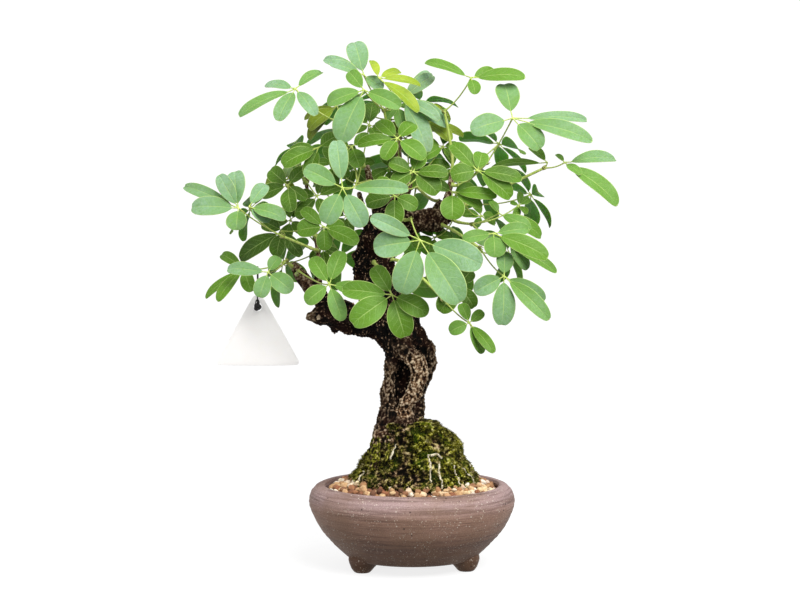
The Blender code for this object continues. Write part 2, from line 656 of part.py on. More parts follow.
def leaf_slab(hub, normal, tips):
    """The leaflets of one leaf as one thin sheet, joined by a small flat hub."""
    east, north, order = round_order(normal, tips)
    line = hub_corners(hub, east, north, [angle for angle, _, _ in order])
    lifts = [normal * BLADE_THICKNESS / 2] * len(line)
    top = [(0, i, i + 1) for i in range(1, len(order) - 1)]
    rim = []
    for i, (_, tip, width) in enumerate(order):
        pairs, face = blade_edges(hub, hub + tip, normal, width)
        start = len(line)
        line += [point for pair in pairs for point in pair]
        lifts += [face * BLADE_THICKNESS / 2] * (2 * len(pairs))
        rights = [(i - 1) % len(order)] + list(range(start, len(line), 2))
        lefts = [i] + list(range(start + 1, len(line), 2))
        for k in range(len(pairs)):
            top.append((rights[k], rights[k + 1], lefts[k + 1]))
            top.append((rights[k], lefts[k + 1], lefts[k]))
        rim += rights + lefts[:0:-1]
    return slab(line, top, tuple(rim), lifts)


def slab(line, top, rim, lifts):
    """A sheet given thickness, split alike on both faces."""
    count = len(line)
    points = [point + lift for point, lift in zip(line, lifts)]
    points += [point - lift for point, lift in zip(line, lifts)]
    faces = list(top) + [(a + count, c + count, b + count) for a, b, c in top]
    for a, b in zip(rim, rim[1:] + rim[:1]):
        faces.append((a, a + count, b + count))
        faces.append((a, b + count, b))
    return points, faces


def spread(hub, normal, tips):
    """Leaflets that would meet pass over each other."""
    apart, trees = [], []
    for tip, width in tips:
        for lift in (0, 0.16, -0.16, 0.32, -0.32, 0.48, -0.48):
            moved = (tip + normal * lift * tip.length).normalized() * tip.length
            guard = blade_guard(hub, hub + moved, normal, width, 2 * BLADE_THICKNESS)
            if not crosses(guard, trees):
                apart.append((moved, width))
                trees.append(tree_of(guard))
                break
    return apart


def bezier(start, bend, end, steps):
    run = []
    for i in range(steps + 1):
        t = i / steps
        run.append(start * (1 - t) ** 2 + bend * 2 * t * (1 - t) + end * t * t)
    return run


def petiole_path(joint, hub, normal, sway):
    """The middle of a leaf stalk, from the shoot to the hub, bending up into the leaf from behind."""
    reach = (hub - joint).length
    bend = hub - normal * 0.3 * reach + (joint - hub) * 0.35 + sway
    return bezier(joint, bend, hub + normal * 0.4, 4)


def petiole(joint, hub, normal, sway, radius=PETIOLE_RADIUS):
    path = petiole_path(joint, hub, normal, sway)
    return tube(path, [radius] * len(path), 3)


def sways():
    """Ways to bend a stalk, the straightest first."""
    yield Vector()
    for size in PETIOLE_BENDS:
        for direction in ((1, 0, 0), (-1, 0, 0), (0, 0, -1), (0, 1, 0), (0, -1, 0), (0, 0, 1)):
            yield Vector(direction) * size


def pushes():
    """Distances to slide a leaf along the line of sight, the shortest first."""
    yield 0
    for size in range(PUSH_STEP, PUSH_LIMIT + 1, PUSH_STEP):
        yield size
        yield -size


def crosses(shape, trees):
    own = tree_of(shape)
    return any(own.overlap(tree) for tree in trees)


def place_leaf(leaf, joint, taken):
    """Slides a leaf in depth, and bends its stalk, until it's clear of all that is in place."""
    hub, normal, tips = leaf
    sight = (hub - EYE).normalized()
    best = None
    for push in pushes():
        centre = hub + sight * push
        guards = [
            (tip, width, blade_guard(centre, centre + tip, normal, width, CLEAR_THICKNESS))
            for tip, width in tips
        ]
        free = [(tip, width) for tip, width, guard in guards if not crosses(guard, taken)]
        if best and len(free) <= len(best[1]):
            continue
        for sway in sways():
            if not crosses(petiole(joint, centre, normal, sway, 1.1 * PETIOLE_RADIUS), taken):
                best = (centre, free, sway)
                break
        if best and len(best[1]) == len(tips):
            break
    return best


def leaf_shapes(leaf, joint, found):
    """The stalk and the leaflets of a leaf where it was placed."""
    centre, tips, sway = found
    return [petiole(joint, centre, leaf[1], sway), leaf_slab(centre, leaf[1], tips)]


def shoot(wood_tree, wood, joint):
    """A green shoot from just off the wood to the joint where its leaf stalks part."""
    inside, end = Vector(wood), seen(joint)
    hit, normal, _, _ = wood_tree.ray_cast(end, (inside - end).normalized())
    if hit is None:
        hit, normal, _, _ = wood_tree.find_nearest(end)
    for step in range(8):
        start = hit + normal * (GAP + 0.08 * step)
        off = start + normal * 2.5
        bend = off + normal * 0.2 * (end - off).length
        path = [start, *bezier(off, bend, end, 4)]
        radii = [SHOOT_RADIUS * (1 - 0.06 * i) for i in range(len(path))]
        shape = tube(path, radii, 3)
        if not crosses(shape, [wood_tree]):
            break
    return shape, end


def make_sprays(wood_tree):
    """Every spray, in order, each clear of the wood, the tag and the sprays before it."""
    chance = random.Random(11)
    sprays = {**SPRAYS, **FAR_SPRAYS}
    shoots = {name: shoot(wood_tree, wood, joint) for name, (wood, joint, _) in sprays.items()}
    taken = [wood_tree]
    for name, (_, _, leaves) in sprays.items():
        own_shoot, joint = shoots[name]
        others = taken + [tree_of(shape) for other, (shape, _) in shoots.items() if other != name]
        shapes = [own_shoot]
        for number, entry in enumerate(leaves):
            leaf = leaf_from_view(*entry) if name in SPRAYS else leaf_by_rule(entry, chance)
            found = place_leaf(leaf, joint, others)
            if not found:
                continue
            stalk, leaflets = leaf_shapes(leaf, joint, found)
            shapes += [stalk, leaflets]
            others.append(tree_of(leaflets))
            if name == TAG_SPRAY and number == 0:
                tag_shapes = make_tag(petiole_path(joint, found[0], leaf[1], found[2]))
                hung = [tree_of(shape) for shape in tag_shapes]
                others += hung
                taken += hung
        union(name, shapes, "leaf")
        taken += [tree_of(shape) for shape in shapes]


# Tag and tie


def make_tag(stalk):
    """The blank tag and the cord loop that hangs it from a leaf stalk."""
    across = seen((TAG_ACROSS, stalk[-1].y, TAG_HOLE_UP)).x
    stalk_point = point_at_across(stalk, across)
    hole_up = seen((TAG_ACROSS, stalk_point.y, TAG_HOLE_UP)).z
    top = stalk_point.z + PETIOLE_RADIUS + GAP + TIE_RADIUS
    bottom = hole_up + TAG_HOLE_RADIUS - GAP - TIE_RADIUS - TAG_THICKNESS / 2
    plate = tag_plate(across, stalk_point.y, hole_up)
    loop = tie_loop(across, stalk_point.y, top, bottom)
    knot_depth = stalk_point.y - TAG_THICKNESS / 2 - GAP - KNOT_RADIUS
    knot = ball(Vector((across, knot_depth, bottom)), KNOT_RADIUS)
    cut_hole(add_object("tag", plate, "tag_plastic"), punch(across, stalk_point.y, hole_up))
    union("tag_tie", [loop, knot], "tag_cord")
    return plate, loop


def point_at_across(path, across):
    """Where a path that runs left passes a given place across."""
    for start, end in zip(path, path[1:]):
        if end.x <= across <= start.x:
            return start.lerp(end, (across - start.x) / (end.x - start.x))
    return path[-1]


def tag_plate(across, depth, up):
    """A rounded triangle, standing on edge."""
    right = TAG_HALF_OUTLINE
    outline = right + [(-x, z) for x, z in reversed(right[1:])]
    line = [Vector((across + x, depth, up + z)) for x, z in outline]
    count = len(line)
    top = [(0, i + 1, i) for i in range(1, count - 1)]
    rim = tuple(range(count - 1, -1, -1))
    return slab(line, top, rim, [Vector((0, -TAG_THICKNESS / 2, 0))] * count)


def punch(across, depth, up):
    """The cutter for the tag's hole: a short rod from front to back."""
    circles = [ring(0, 0, end, TAG_HOLE_RADIUS, 10) for end in (-2, 2)]
    points, faces = skin([[(0, 0, -2)], *circles, [(0, 0, 2)]], closed=False)
    return [(across + x, depth - z, up + y) for x, y, z in points], faces


def cut_hole(item, shape):
    """Cuts a closed shape out of an object, and removes the cutter."""
    cutter = add_object(item.name + "_cutter", shape)
    cutter.hide_render = True
    cutter.display_type = "WIRE"
    cut = item.modifiers.new("hole", "BOOLEAN")
    cut.object = cutter
    apply_modifiers(item)
    bpy.data.objects.remove(cutter, do_unlink=True)


def tie_loop(across, depth, top, bottom):
    """A closed loop of cord, over the stalk at its top and through the tag's hole at its bottom."""
    middle, half = (top + bottom) / 2, (top - bottom) / 2
    rings = []
    for step in range(14):
        angle = 2 * math.pi * step / 14
        out = Vector((0, math.sin(angle), math.cos(angle)))
        bulge = math.copysign(abs(out.y) ** 0.6, out.y)
        centre = Vector((across, depth + TIE_HALF_WIDTH * bulge, middle + half * out.z))
        rings.append([
            centre + TIE_RADIUS * (out * math.cos(turn) + Vector((math.sin(turn), 0, 0)))
            for turn in (0, math.pi / 2, math.pi, 3 * math.pi / 2)
        ])
    return skin(rings, closed=True)


def ball(centre, radius):
    levels = [math.radians(degrees) for degrees in (-50, 0, 50)]
    rings = [
        ring(centre.x, centre.y, centre.z + radius * math.sin(level), radius * math.cos(level), 7)
        for level in levels
    ]
    low, high = (centre.x, centre.y, centre.z - radius), (centre.x, centre.y, centre.z + radius)
    return skin([[low], *rings, [high]], closed=False)


def main():
    remove_scene_objects()
    make_pot()
    make_drain_mesh()
    make_soil()
    make_gravel()
    make_mound()
    wood_tree = make_trunk()
    make_sprays(wood_tree)


main()
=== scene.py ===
"""The dressed chocolate vine bonsai: fine leaves, bark, moss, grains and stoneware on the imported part.

Shapes are worked out in millimetres, in the part's own frame, and made in metres. The leaves follow
the same tables and rules as the part's source, so each lies where its solid is.
"""
import math
import random

import bmesh
import bpy
import numpy as np
from mathutils import Matrix, Vector, noise
from mathutils.bvhtree import BVHTree


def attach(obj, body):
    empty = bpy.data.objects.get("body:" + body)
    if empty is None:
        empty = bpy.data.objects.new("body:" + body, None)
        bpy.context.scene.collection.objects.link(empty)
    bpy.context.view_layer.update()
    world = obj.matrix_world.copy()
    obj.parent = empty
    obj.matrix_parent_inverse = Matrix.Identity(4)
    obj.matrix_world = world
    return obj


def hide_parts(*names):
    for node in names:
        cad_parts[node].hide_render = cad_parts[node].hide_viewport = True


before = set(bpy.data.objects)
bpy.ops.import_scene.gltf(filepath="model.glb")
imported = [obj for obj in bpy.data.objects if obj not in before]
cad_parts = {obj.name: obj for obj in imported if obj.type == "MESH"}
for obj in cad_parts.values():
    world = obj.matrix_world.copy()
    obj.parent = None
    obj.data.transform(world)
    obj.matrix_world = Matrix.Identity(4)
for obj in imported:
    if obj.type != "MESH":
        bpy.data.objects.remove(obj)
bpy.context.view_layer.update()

# A millimetre, in Blender's metres
MM = 0.001

# The pot, the mound and the gravel, in millimetres, as in the part
GAP = 0.3
POT_ACROSS = 9.0
POT_OUTER = [
    (47.5, 8.4), (50.5, 10.4), (60.5, 20), (70.2, 32), (77, 47), (76.2, 56), (72.5, 61), (69, 62.8),
]
POT_INNER = [(65.2, 60.6), (67.2, 54), (70, 46), (66, 36), (56, 22.5), (44, 14.5)]
DRAIN_RADIUS = 7.0
FOOT_RADIUS_ON_POT = 44.0
FOOT_ANGLES = (-57, 66, 185)
TRUNK_FOOT = (2.0, 0.0)
TRUNK_FOOT_RADIUS = 16.0
MOUND_RINGS = [
    (11, 54.3, 45.5), (11, 65, 46.2), (10.5, 71, 45.5), (11, 80, 39.5),
    (12.5, 88, 34.5), (12, 96, 30.5), (8.5, 104, 26), (5.5, 109.5, 21.5),
]
GRAVEL_INNER = (11.0, 48.3)
GRAVEL_OUTER = (9.0, 64.2)
GRAVEL_BOTTOM = 54.3

# Leaves and shoots, in millimetres, as in the part
BLADE_THICKNESS = 0.7
SHOOT_RADIUS = 1.25
PETIOLE_RADIUS = 0.75
PETIOLULE_HALF = 0.6
HUB_RADIUS = 1.1
SHORT_BLADE = 21.0
LEAF_DROOP = 0.12
CLEAR_THICKNESS = 2.6
CROWN_MIDDLE = Vector((0.0, 0.0, 262.0))
FAR_LEAFLET_LENGTHS = (27, 36)
SPREAD_LIFTS = (0, 0.16, -0.16, 0.32, -0.32, 0.48, -0.48)

# Ways to bend a stalk, and distances to slide a leaf along the line of sight, the least first
SWAY_WAYS = ((1, 0, 0), (-1, 0, 0), (0, 0, -1), (0, 1, 0), (0, -1, 0), (0, 0, 1))
SWAYS = [Vector()] + [Vector(way) * size for size in (6, 12, 20) for way in SWAY_WAYS]
PUSHES = [0] + [push for size in range(3, 46, 3) for push in (size, -size)]

# Tag and tie, in millimetres, as in the part
TAG_ACROSS = -107.0
TAG_HOLE_UP = 196.0
TAG_HOLE_RADIUS = 3.2
TAG_THICKNESS = 0.8
TAG_RIGHT = [(2.9, 8.3), (4.8, 5.6), (30.2, -39.5), (30.8, -42), (28.8, -44)]
TAG_OUTLINE = [(0, 9), *TAG_RIGHT, *[(-x, z) for x, z in reversed(TAG_RIGHT)]]
TIE_RADIUS = 0.55
TIE_HALF_WIDTH = 2.5
KNOT_RADIUS = 2.5

# Where the photograph was taken from, and the width of its view at the trunk, in millimetres
EYE = Vector((0.0, -1333.0, 263.0))
AIM = Vector((0.0, 0.0, 197.0))
VIEW_WIDTH = 600.0

# The stage, in metres, the light of the white room, and the lamps: place, size and power in watts
FLOOR_SOLID = 0.45
FLOOR_END = 1.5
ROOM_LOW = 0.1
ROOM_HIGH = 0.72
ROOM_SEEN = 1.05
LAMPS = {"key": ((0.75, -1.35, 1.5), 1.2, 47), "fill": ((-1.4, -1.1, 0.8), 1.2, 8)}
LAMP_TARGET = Vector((0, 0, 0.2))

# Where the random draws start
LAYOUT_SEED = 11
LEAF_SEED = 23
MOSS_SEED = 31
STONE_SEED = 47

# The fine pot's rounded rim, and its feet: rings as (radius, up), and how much they lean in above the toe
POT_RIM = [(69, 62.8), (67.2, 62.9), (65.6, 62.1), (65.2, 60.6)]
FOOT_RINGS = [
    (4.4, 0), (5.3, 0.15), (6.2, 0.7), (7.2, 1.8), (8.4, 3.4),
    (9.8, 5.4), (11.2, 7.4), (12.2, 9.3), (12.6, 11.2), (12.6, 14.2),
]
FOOT_LEAN = 0.35
TOE_TOP = 3.0

# The ends of the fine mound and of the trunk's round foot, and how high the gravel is heaped
MOUND_TOP = MOUND_RINGS[-1][1]
MOUND_FOOT = 55.0
TRUNK_FOOT_ENDS = (100.0, MOUND_TOP + 4)
HEAP_TOP = 66.6
HEAP_FALL = 5.6

# The tag's bevel, and the radius of the knot's cord
TAG_BEVEL = 0.16
KNOT_CORD = 0.95

# How fine the pieces are made, and how many moss shoots stand on the mound
COLUMNS = (-1, -0.94, -0.72, -0.46, -0.2, -0.06, 0, 0.06, 0.2, 0.46, 0.72, 0.94, 1)
ROWS = 20
BARK_CELL = 0.85
MOUND_AROUND = 240
MOUND_LEVELS = 104
POT_AROUND = 168
KNOT_STEPS = 72
TUFTS = 19000

# A fine leaflet: its thickness, where along it's widest, the width from which it's drawn a little narrower,
# its side veins, the ranges of its fold, wave, phase and notch, and the radii of its own short stalk
FINE_BLADE = 0.34
WIDEST = 0.54
WIDE_LEAFLET = 22.0
SIDE_VEINS = 5
BLADE_LOOKS = ((0.06, 0.3), (0.02, 0.1), (0, 6), (0.0, 0.035))
PETIOLULE_RADII = (0.58, 0.55, 0.5, 0.46, 0.44, 0.42, 0.4, 0.36, 0.3, 0.22)

# The bark's relief, and a pale grain stuck in the end of the dead arm, as (across, up)
BARK_DEPTH = 2.1
PALE_GRAIN = (-60.8, 188.5)

# Layers of stones: depth below the heap's top, tries, and where they lie from the mound, 0, to the wall, 1
STONE_LAYERS = (
    (5.0, 2000, 0.0, 0.98), (2.4, 2000, 0.02, 0.94), (0.4, 420, 0.02, 0.9), (-0.6, 90, -0.12, 0.06),
)

# Colours, from 0 to 255 as seen; a run of colours gives the place of each first
WHITE = (255, 255, 255)
VEIN_COLOUR = (158, 194, 112)
# The leaves' tones by tint; the dark end is painted shade, for leaves deep in the crown
LEAF_TINT_AND_SHADE_STOPS = (
    (0.0, 40, 62, 2), (0.22, 64, 96, 6), (0.42, 94, 138, 24), (0.56, 108, 154, 60),
    (0.7, 116, 160, 102), (0.82, 110, 120, 28), (0.92, 142, 166, 32), (1.0, 168, 186, 50),
)
# The moss by its relief: the dark end is painted shade between clumps, the pale end partly painted highlight
# on their tops
MOSS_SHADE_TO_HIGHLIGHT_STOPS = (
    (0.17, 3, 2, 0), (0.34, 46, 45, 6), (0.5, 120, 120, 22), (0.68, 188, 182, 58), (0.92, 248, 240, 166),
)
STONE_STOPS = (
    (0.0, 78, 50, 34), (0.24, 138, 94, 66), (0.46, 196, 152, 106), (0.7, 242, 215, 166),
    (0.95, 255, 247, 228),
)

# A mix node's first socket to mix and its outlet, for colours and for numbers
MIX_SOCKETS = {"RGBA": (6, 2), "FLOAT": (2, 0)}

# How light or yellow a leaf is, from 0 to 1, for a spray or for one leaf of it; partly its own tone, partly
# painted shade where low
TINT_AND_SHADE_BY_SPRAY = {
    "left_low": 0.42, ("left_low", 1): 0.58,
    "left_tip": 0.64, "left_mid": 0.2, ("left_mid", 1): 0.46,
    "left_high": 0.34, ("left_high", 0): 0.3,
    "crown_left": 0.62, ("crown_left", 1): 0.84,
    "crown": 0.67, ("crown", 1): 0.56, ("crown", 2): 0.93,
    "crown_right": 0.44, ("crown_right", 1): 0.92,
    "right_high": 0.64, "right_tip": 0.56, ("right_tip", 1): 0.36,
    "right_mid": 0.38, "right_low": 0.5, ("right_low", 2): 0.56,
    "right_drop": 0.6, "low_right": 0.48, ("low_right", 1): 0.24,
    "front": 0.68, "front_low": 0.42, "front_left": 0.5,
    "centre_left": 0.64, ("centre_left", 1): 0.34,
    "centre": 0.34, ("centre", 2): 0.42,
}

# Small leaves inside the crown, numbered on from the first: spray, hub, facing, spin, length and tint, mostly
# low as painted shade
FIRST_FILL = 100
FILL_LEAVES = [
    ("left_high", (-62, 8, 279), (-15, 40), 15, 19, 0.28),
    ("left_mid", (-82, 4, 261), (-20, 35), 40, 18, 0.36),
    ("centre_left", (-23, 8, 332), (10, 45), 70, 18, 0.3),
    ("centre", (32, 12, 316), (20, 40), 10, 18, 0.42),
    ("right_mid", (26, 6, 248), (10, 35), 55, 16, 0.3),
    ("right_mid", (61, 8, 264), (25, 40), 30, 14, 0.4),
    ("centre_left", (-34, 14, 300), (-15, 30), 25, 18, 0.24),
    ("centre", (4, 16, 322), (0, 40), 50, 17, 0.8),
    ("left_mid", (-58, 14, 240), (-15, 30), 65, 15, 0.28),
    ("right_low", (89, 8, 272), (20, 35), 20, 10, 0.4),
    ("crown", (-2, 6, 346), (0, 45), 0, 16, 0.5),
    ("centre", (14, 18, 296), (10, 30), 35, 18, 0.26),
    ("left_high", (-86, 6, 291), (-20, 35), 165, 14, 0.83),
    ("centre_left", (-50, 16, 303), (-10, 30), 110, 18, 0.34),
    ("left_high", (-40, 18, 264), (0, 35), 80, 18, 0.3),
    ("centre", (-8, 20, 300), (5, 40), 130, 18, 0.32),
    ("right_mid", (40, 14, 300), (15, 35), 95, 17, 0.36),
    ("centre", (22, 18, 338), (10, 40), 140, 15, 0.84),
]

# Stalk of a leaflet as a share of the whole leaflet's length, where it is longer than most
STEM_SHARES = {("front", 0): 0.2, ("right_high", 0): 0.2, ("centre_left", 0): 0.18}

# Strands of the lower trunk as they look, as points (across, depth, up, radius): a recessed core, the left
# one, the pale winding one and the right one
FINE_STRANDS = [
    [(3, 7, 112, 11), (1, 7, 126, 10), (2, 8, 142, 10), (7, 7, 157, 11), (1.5, 3, 173, 12.5)],
    [(-5, -2, 112, 9.5), (-8.5, -4, 126, 5.8), (-9.2, -5, 138, 4.8), (-7, -5, 150, 5.2), (-3.5, -4, 163, 8),
     (-9, -2, 182, 13)],
    [(4, -8, 104, 6.8), (2.5, -9.5, 113, 6.2), (3.5, -11, 121, 5.4), (7, -12, 128, 5.6), (11.5, -12, 135, 6),
     (14.7, -11, 143, 6.2), (15, -11.5, 150, 6.2), (12, -12, 156, 6.2), (5, -10.5, 162, 6.4),
     (0, -6, 172, 8)],
    [(12, 2, 112, 8), (12.5, 5, 126, 6.5), (16, 5, 139, 6), (21, 3, 150, 5.6), (21.3, 1, 160, 5.8),
     (15, 2, 170, 7.2), (6, 2, 180, 7)],
]

# Roots that show as bark on the mound's upper left, and the thin pale ones among the moss
BARK_ROOTS = [
    [(-7, -5, 118, 8), (-11, -11, 107, 7), (-15, -17, 97, 5.5), (-18, -23, 87, 4), (-22, -29, 77, 2.2)],
    [(3, -8, 118, 8), (3, -14, 107, 7), (3, -20, 98, 6), (1, -26, 90, 4.2), (0, -31, 81, 2)],
    [(-8.5, 0, 115, 6.5), (-13.5, 0, 102, 6), (-18.5, -2, 91, 4.8), (-26.5, -3, 80, 2.8)],
    [(-3, -10, 112, 5), (-6, -18, 102, 4), (-8, -24, 93, 3.2), (-9, -30, 84, 1.8)],
]
PALE_ROOTS = [
    [(19.5, -28, 89, 1), (20.5, -33, 82, 1), (21, -36, 76, 0.9), (21.5, -40.5, 70, 0.8)],
    [(21, -28, 88, 1.3), (26, -28.5, 88.5, 1.4), (30.5, -28, 86, 1.1)],
    [(27.5, -31, 82, 1), (27, -34.5, 76, 1.2), (28.5, -38, 70, 1.1), (29, -42, 65, 0.9)],
    [(34, -25, 80, 0.8), (37, -28, 74, 0.8), (40, -32, 67, 0.7)],
    [(42.6, -18, 77, 0.8), (48, -20, 72, 0.8), (55, -22, 66, 0.7)],
    [(47, -10, 79, 0.7), (52, -12, 74, 0.8), (57, -13, 67, 0.7)],
    [(-28, -20, 75, 0.9), (-32, -24, 70, 0.9), (-35, -27, 65, 0.8)],
    [(-3, -26, 96, 1.1), (-5, -29, 90, 1), (-7, -31.5, 85, 0.8)],
]

# The other limbs of the trunk, as in the part but for the foot of the first
LIMBS = [
    [(2, 0, 168, 14), (-5, 0, 184, 16.5), (-14, 1, 198, 16), (-19, 2, 214, 14.5), (-20, 1, 231, 14.5),
     (-17, 0, 247, 14), (-10, 0, 259, 12.5), (-3, 1, 270, 9), (3, 2, 281, 6.5), (5, 2, 290, 4)],
    [(-6, 0, 186, 12), (-27, -1, 186, 11), (-45, -2, 189, 11), (-56, -2, 190, 8.5), (-65, -3, 189, 5.5),
     (-70, -3, 190, 3)],
    [(-48, 0, 194, 8), (-60, 0, 203, 6.5), (-68, 1, 211, 6), (-75, 2, 220, 5), (-81, 2, 229, 3)],
    [(-10, 0, 250, 9), (4, 0, 258, 8.5), (16, 0, 261, 8), (28, 0, 262, 8.5), (36, 1, 266, 5.5)],
    [(-13, 1, 258, 7), (-20, 3, 279, 3.6), (-25, 2, 302, 2.2)],
    [(3, 2, 280, 5), (-1, 3, 306, 2.8), (0, 4, 326, 1.8)],
    [(31, 0, 262, 5), (36, 3, 280, 2.8), (39, 4, 297, 1.8)],
    [(-63, 0, 198, 4.5), (-61, 4, 231, 2), (-67, 5, 266, 1.8), (-71, 4, 294, 1.4)],
    [(-18, 6, 240, 6), (-26, 34, 262, 3.2), (-32, 58, 282, 2)],
    [(4, 5, 250, 6), (20, 34, 262, 3.2), (32, 58, 276, 2)],
    [(-16, 6, 212, 6), (-14, 30, 216, 3), (-8, 48, 222, 2)],
]

# Each spray, whose node is spray_ and its name: the wood it grows from, the end of its shoot, and its
# leaves. A leaf is its hub (across, depth, up), the way it faces (turn to the right, tilt up, in degrees),
# and its leaflets as (tip across, tip up, width) from the hub, as seen from the front.
SPRAYS = {
    "left_low": ((-80, 2, 225), (-85, -8, 231), [
        ((-117, -12, 225), (-25, 35), [(-31, -20, 8), (-18, -25, 11), (6, -16, 11), (-20, 12, 9)]),
        ((-99, -36, 222), (-5, 25), [(-32, 4, 11), (-6, -18, 13), (18, -13, 15), (8, 12, 10)]),
    ]),
    "left_tip": ((-62, 3, 238), (-88, -14, 249), [
        ((-121, -30, 270), (-15, 25),
         [(-46, 20, 10), (-36, 0, 16), (-5, 30, 16), (-14, 23, 12), (-1, -16, 16)]),
        ((-113, -34, 271), (15, 35), [(12, 19, 11), (17, -9, 15), (27, -13, 14)]),
    ]),
    "left_mid": ((-62, 4, 248), (-72, -4, 254), [
        ((-88, 4, 253), (-20, 20), [(-35, -20, 15), (-16, 8, 13), (-5, -19, 13), (14, -18, 10)]),
        ((-57, -42, 256), (5, 25),
         [(-20, -2, 15), (16, -2, 13), (26, -15, 13), (-17, 13, 10), (1, -17, 12)]),
    ]),
    "left_high": ((-70, 4, 287), (-76, -2, 300), [
        ((-84, -10, 287), (-20, 20),
         [(-15, 13, 13), (-21, -7, 12), (14, -10, 9), (6, -22, 13), (12, 14, 11)]),
        ((-61, -22, 315), (-15, 25), [(-24, -3, 12), (-26, -16, 15), (-8, -22, 12), (14, 10, 12)]),
    ]),
    "crown_left": ((-25, 2, 299), (-46, -4, 334), [
        ((-78, -14, 359), (-10, 45),
         [(-43, -17, 12), (-12, -23, 14), (-24, 6, 10), (16, -19, 11), (19, 16, 10)]),
        ((-47, 6, 346), (-30, 30), [(-27, -7, 8), (-21, -18, 15), (-27, -21, 12)]),
    ]),
    "crown": ((0, 4, 322), (-12, -4, 343), [
        ((-27, -16, 369), (-5, 30), [(-8, 29, 16), (-31, 16, 10), (-26, 7, 9), (14, -10, 10)]),
        ((-27, -42, 358), (-15, 25), [(-18, -37, 24), (-27, -11, 13), (27, -12, 13), (-12, 16, 11)]),
        ((-16, -26, 367), (20, 45), [(-5, 16, 7), (17, 8, 8), (33, -2, 9), (31, -23, 12)]),
        ((2, -2, 352), (20, 30),
         [(36, -18, 15), (26, -21, 11), (20, -39, 18), (22, 24, 9), (22, 15, 11)]),
    ]),
    "crown_right": ((39, 4, 294), (33, 2, 342), [
        ((53, -12, 367), (5, 40), [(-34, 16, 10), (3, -12, 10), (20, 6, 12), (40, -5, 14)]),
        ((19, 12, 334), (15, 40), [(30, -8, 9), (19, -15, 12), (8, 16, 12), (-14, 12, 12)]),
    ]),
    "right_high": ((37, 3, 286), (65, -12, 304), [
        ((84, -30, 337), (8, 28),
         [(-5, 29, 18), (-31, -8, 18), (21, -22, 18), (59, 3, 9), (59, -18, 14)]),
    ]),
    "right_tip": ((35, 0, 265), (108, -16, 300), [
        ((123, -22, 304), (20, 40), [(43, 7, 12), (41, -28, 18), (10, -12, 9), (-6, 7, 5)]),
        ((110, -10, 304), (-10, 50), [(-43, 0, 9), (-12, 14, 8)]),
    ]),
    "right_mid": ((34, -4, 267), (44, -26, 284), [
        ((58, -50, 298), (10, 25),
         [(-20, -3, 15), (26, -19, 15), (33, -7, 12), (-19, 22, 13), (4, 15, 12)]),
        ((39, -44, 282), (5, 25), [(0, -20, 18), (23, -10, 9), (33, -6, 10), (20, 4, 12), (-14, 8, 9)]),
    ]),
    "right_low": ((36, 0, 263), (54, -12, 258), [
        ((74, -18, 266), (25, 30), [(35, -15, 14), (22, -15, 12), (-6, 10, 7)]),
        ((70, -42, 251), (15, 25),
         [(1, -17, 17), (43, -14, 13), (39, -22, 16), (27, 3, 11), (-23, -3, 10)]),
        ((81, -6, 243), (20, 20), [(16, -18, 11), (34, -24, 9), (-24, 5, 12)]),
    ]),
    "right_drop": ((30, -6, 258), (60, -26, 240), [
        ((78, -46, 219), (10, 15),
         [(-1, -36, 17), (32, -18, 13), (32, -35, 13), (-22, -11, 14), (1, 19, 13)]),
    ]),
    "low_right": ((-6, -10, 231), (32, -30, 202), [
        ((52, -36, 184), (5, 20), [(-15, -6, 11), (10, -22, 9), (18, -24, 9), (11, 9, 8), (-6, 15, 9)]),
        ((44, -22, 212), (5, 20), [(-14, -19, 15), (12, -16, 12), (10, 12, 12)]),
    ]),
    "front": ((-2, -8, 262), (8, -52, 262), [
        ((15, -96, 246), (0, 12),
         [(-35, -5, 19), (-14, -39, 21), (30, -47, 25), (47, -17, 21), (-37, 17, 12)]),
    ]),
    "front_low": ((-20, -10, 230), (-12, -48, 224), [
        ((-6, -84, 205), (0, 15),
         [(-38, 5, 14), (-30, -22, 19), (10, -31, 18), (27, -14, 15), (-14, 22, 13)]),
    ]),
    "front_left": ((-77, 0, 220), (-76, -16, 223), [
        ((-53, -66, 213), (-5, 20),
         [(-14, 21, 12), (9, 26, 13), (-18, -13, 13), (10, -26, 12), (29, -5, 11)]),
    ]),
    "centre_left": ((-22, 2, 290), (-32, -26, 288), [
        ((-43, -76, 285), (0, 15),
         [(-5, 38, 14), (-29, 16, 14), (-13, -26, 16), (16, -28, 16), (50, 1, 11)]),
        ((-36, -22, 316), (-10, 30), [(6, -15, 13), (-15, -16, 13), (-20, 5, 12), (14, 9, 11)]),
    ]),
    "centre": ((2, -3, 282), (2, -28, 284), [
        ((-4, -58, 279), (0, 20), [(-22, -5, 13), (0, -21, 14), (17, -8, 12), (-14, 14, 12)]),
        ((10, -46, 297), (5, 30),
         [(-16, -9, 13), (19, -15, 17), (26, -4, 11), (-19, 5, 12), (6, 14, 12)]),
        ((-2, -28, 322), (0, 35),
         [(-30, -3, 11), (-10, -15, 12), (20, -14, 14), (-15, 15, 12), (13, 13, 12)]),
    ]),
}

# The leaf that carries the tag
TAG_LEAF = ("left_low", 0)

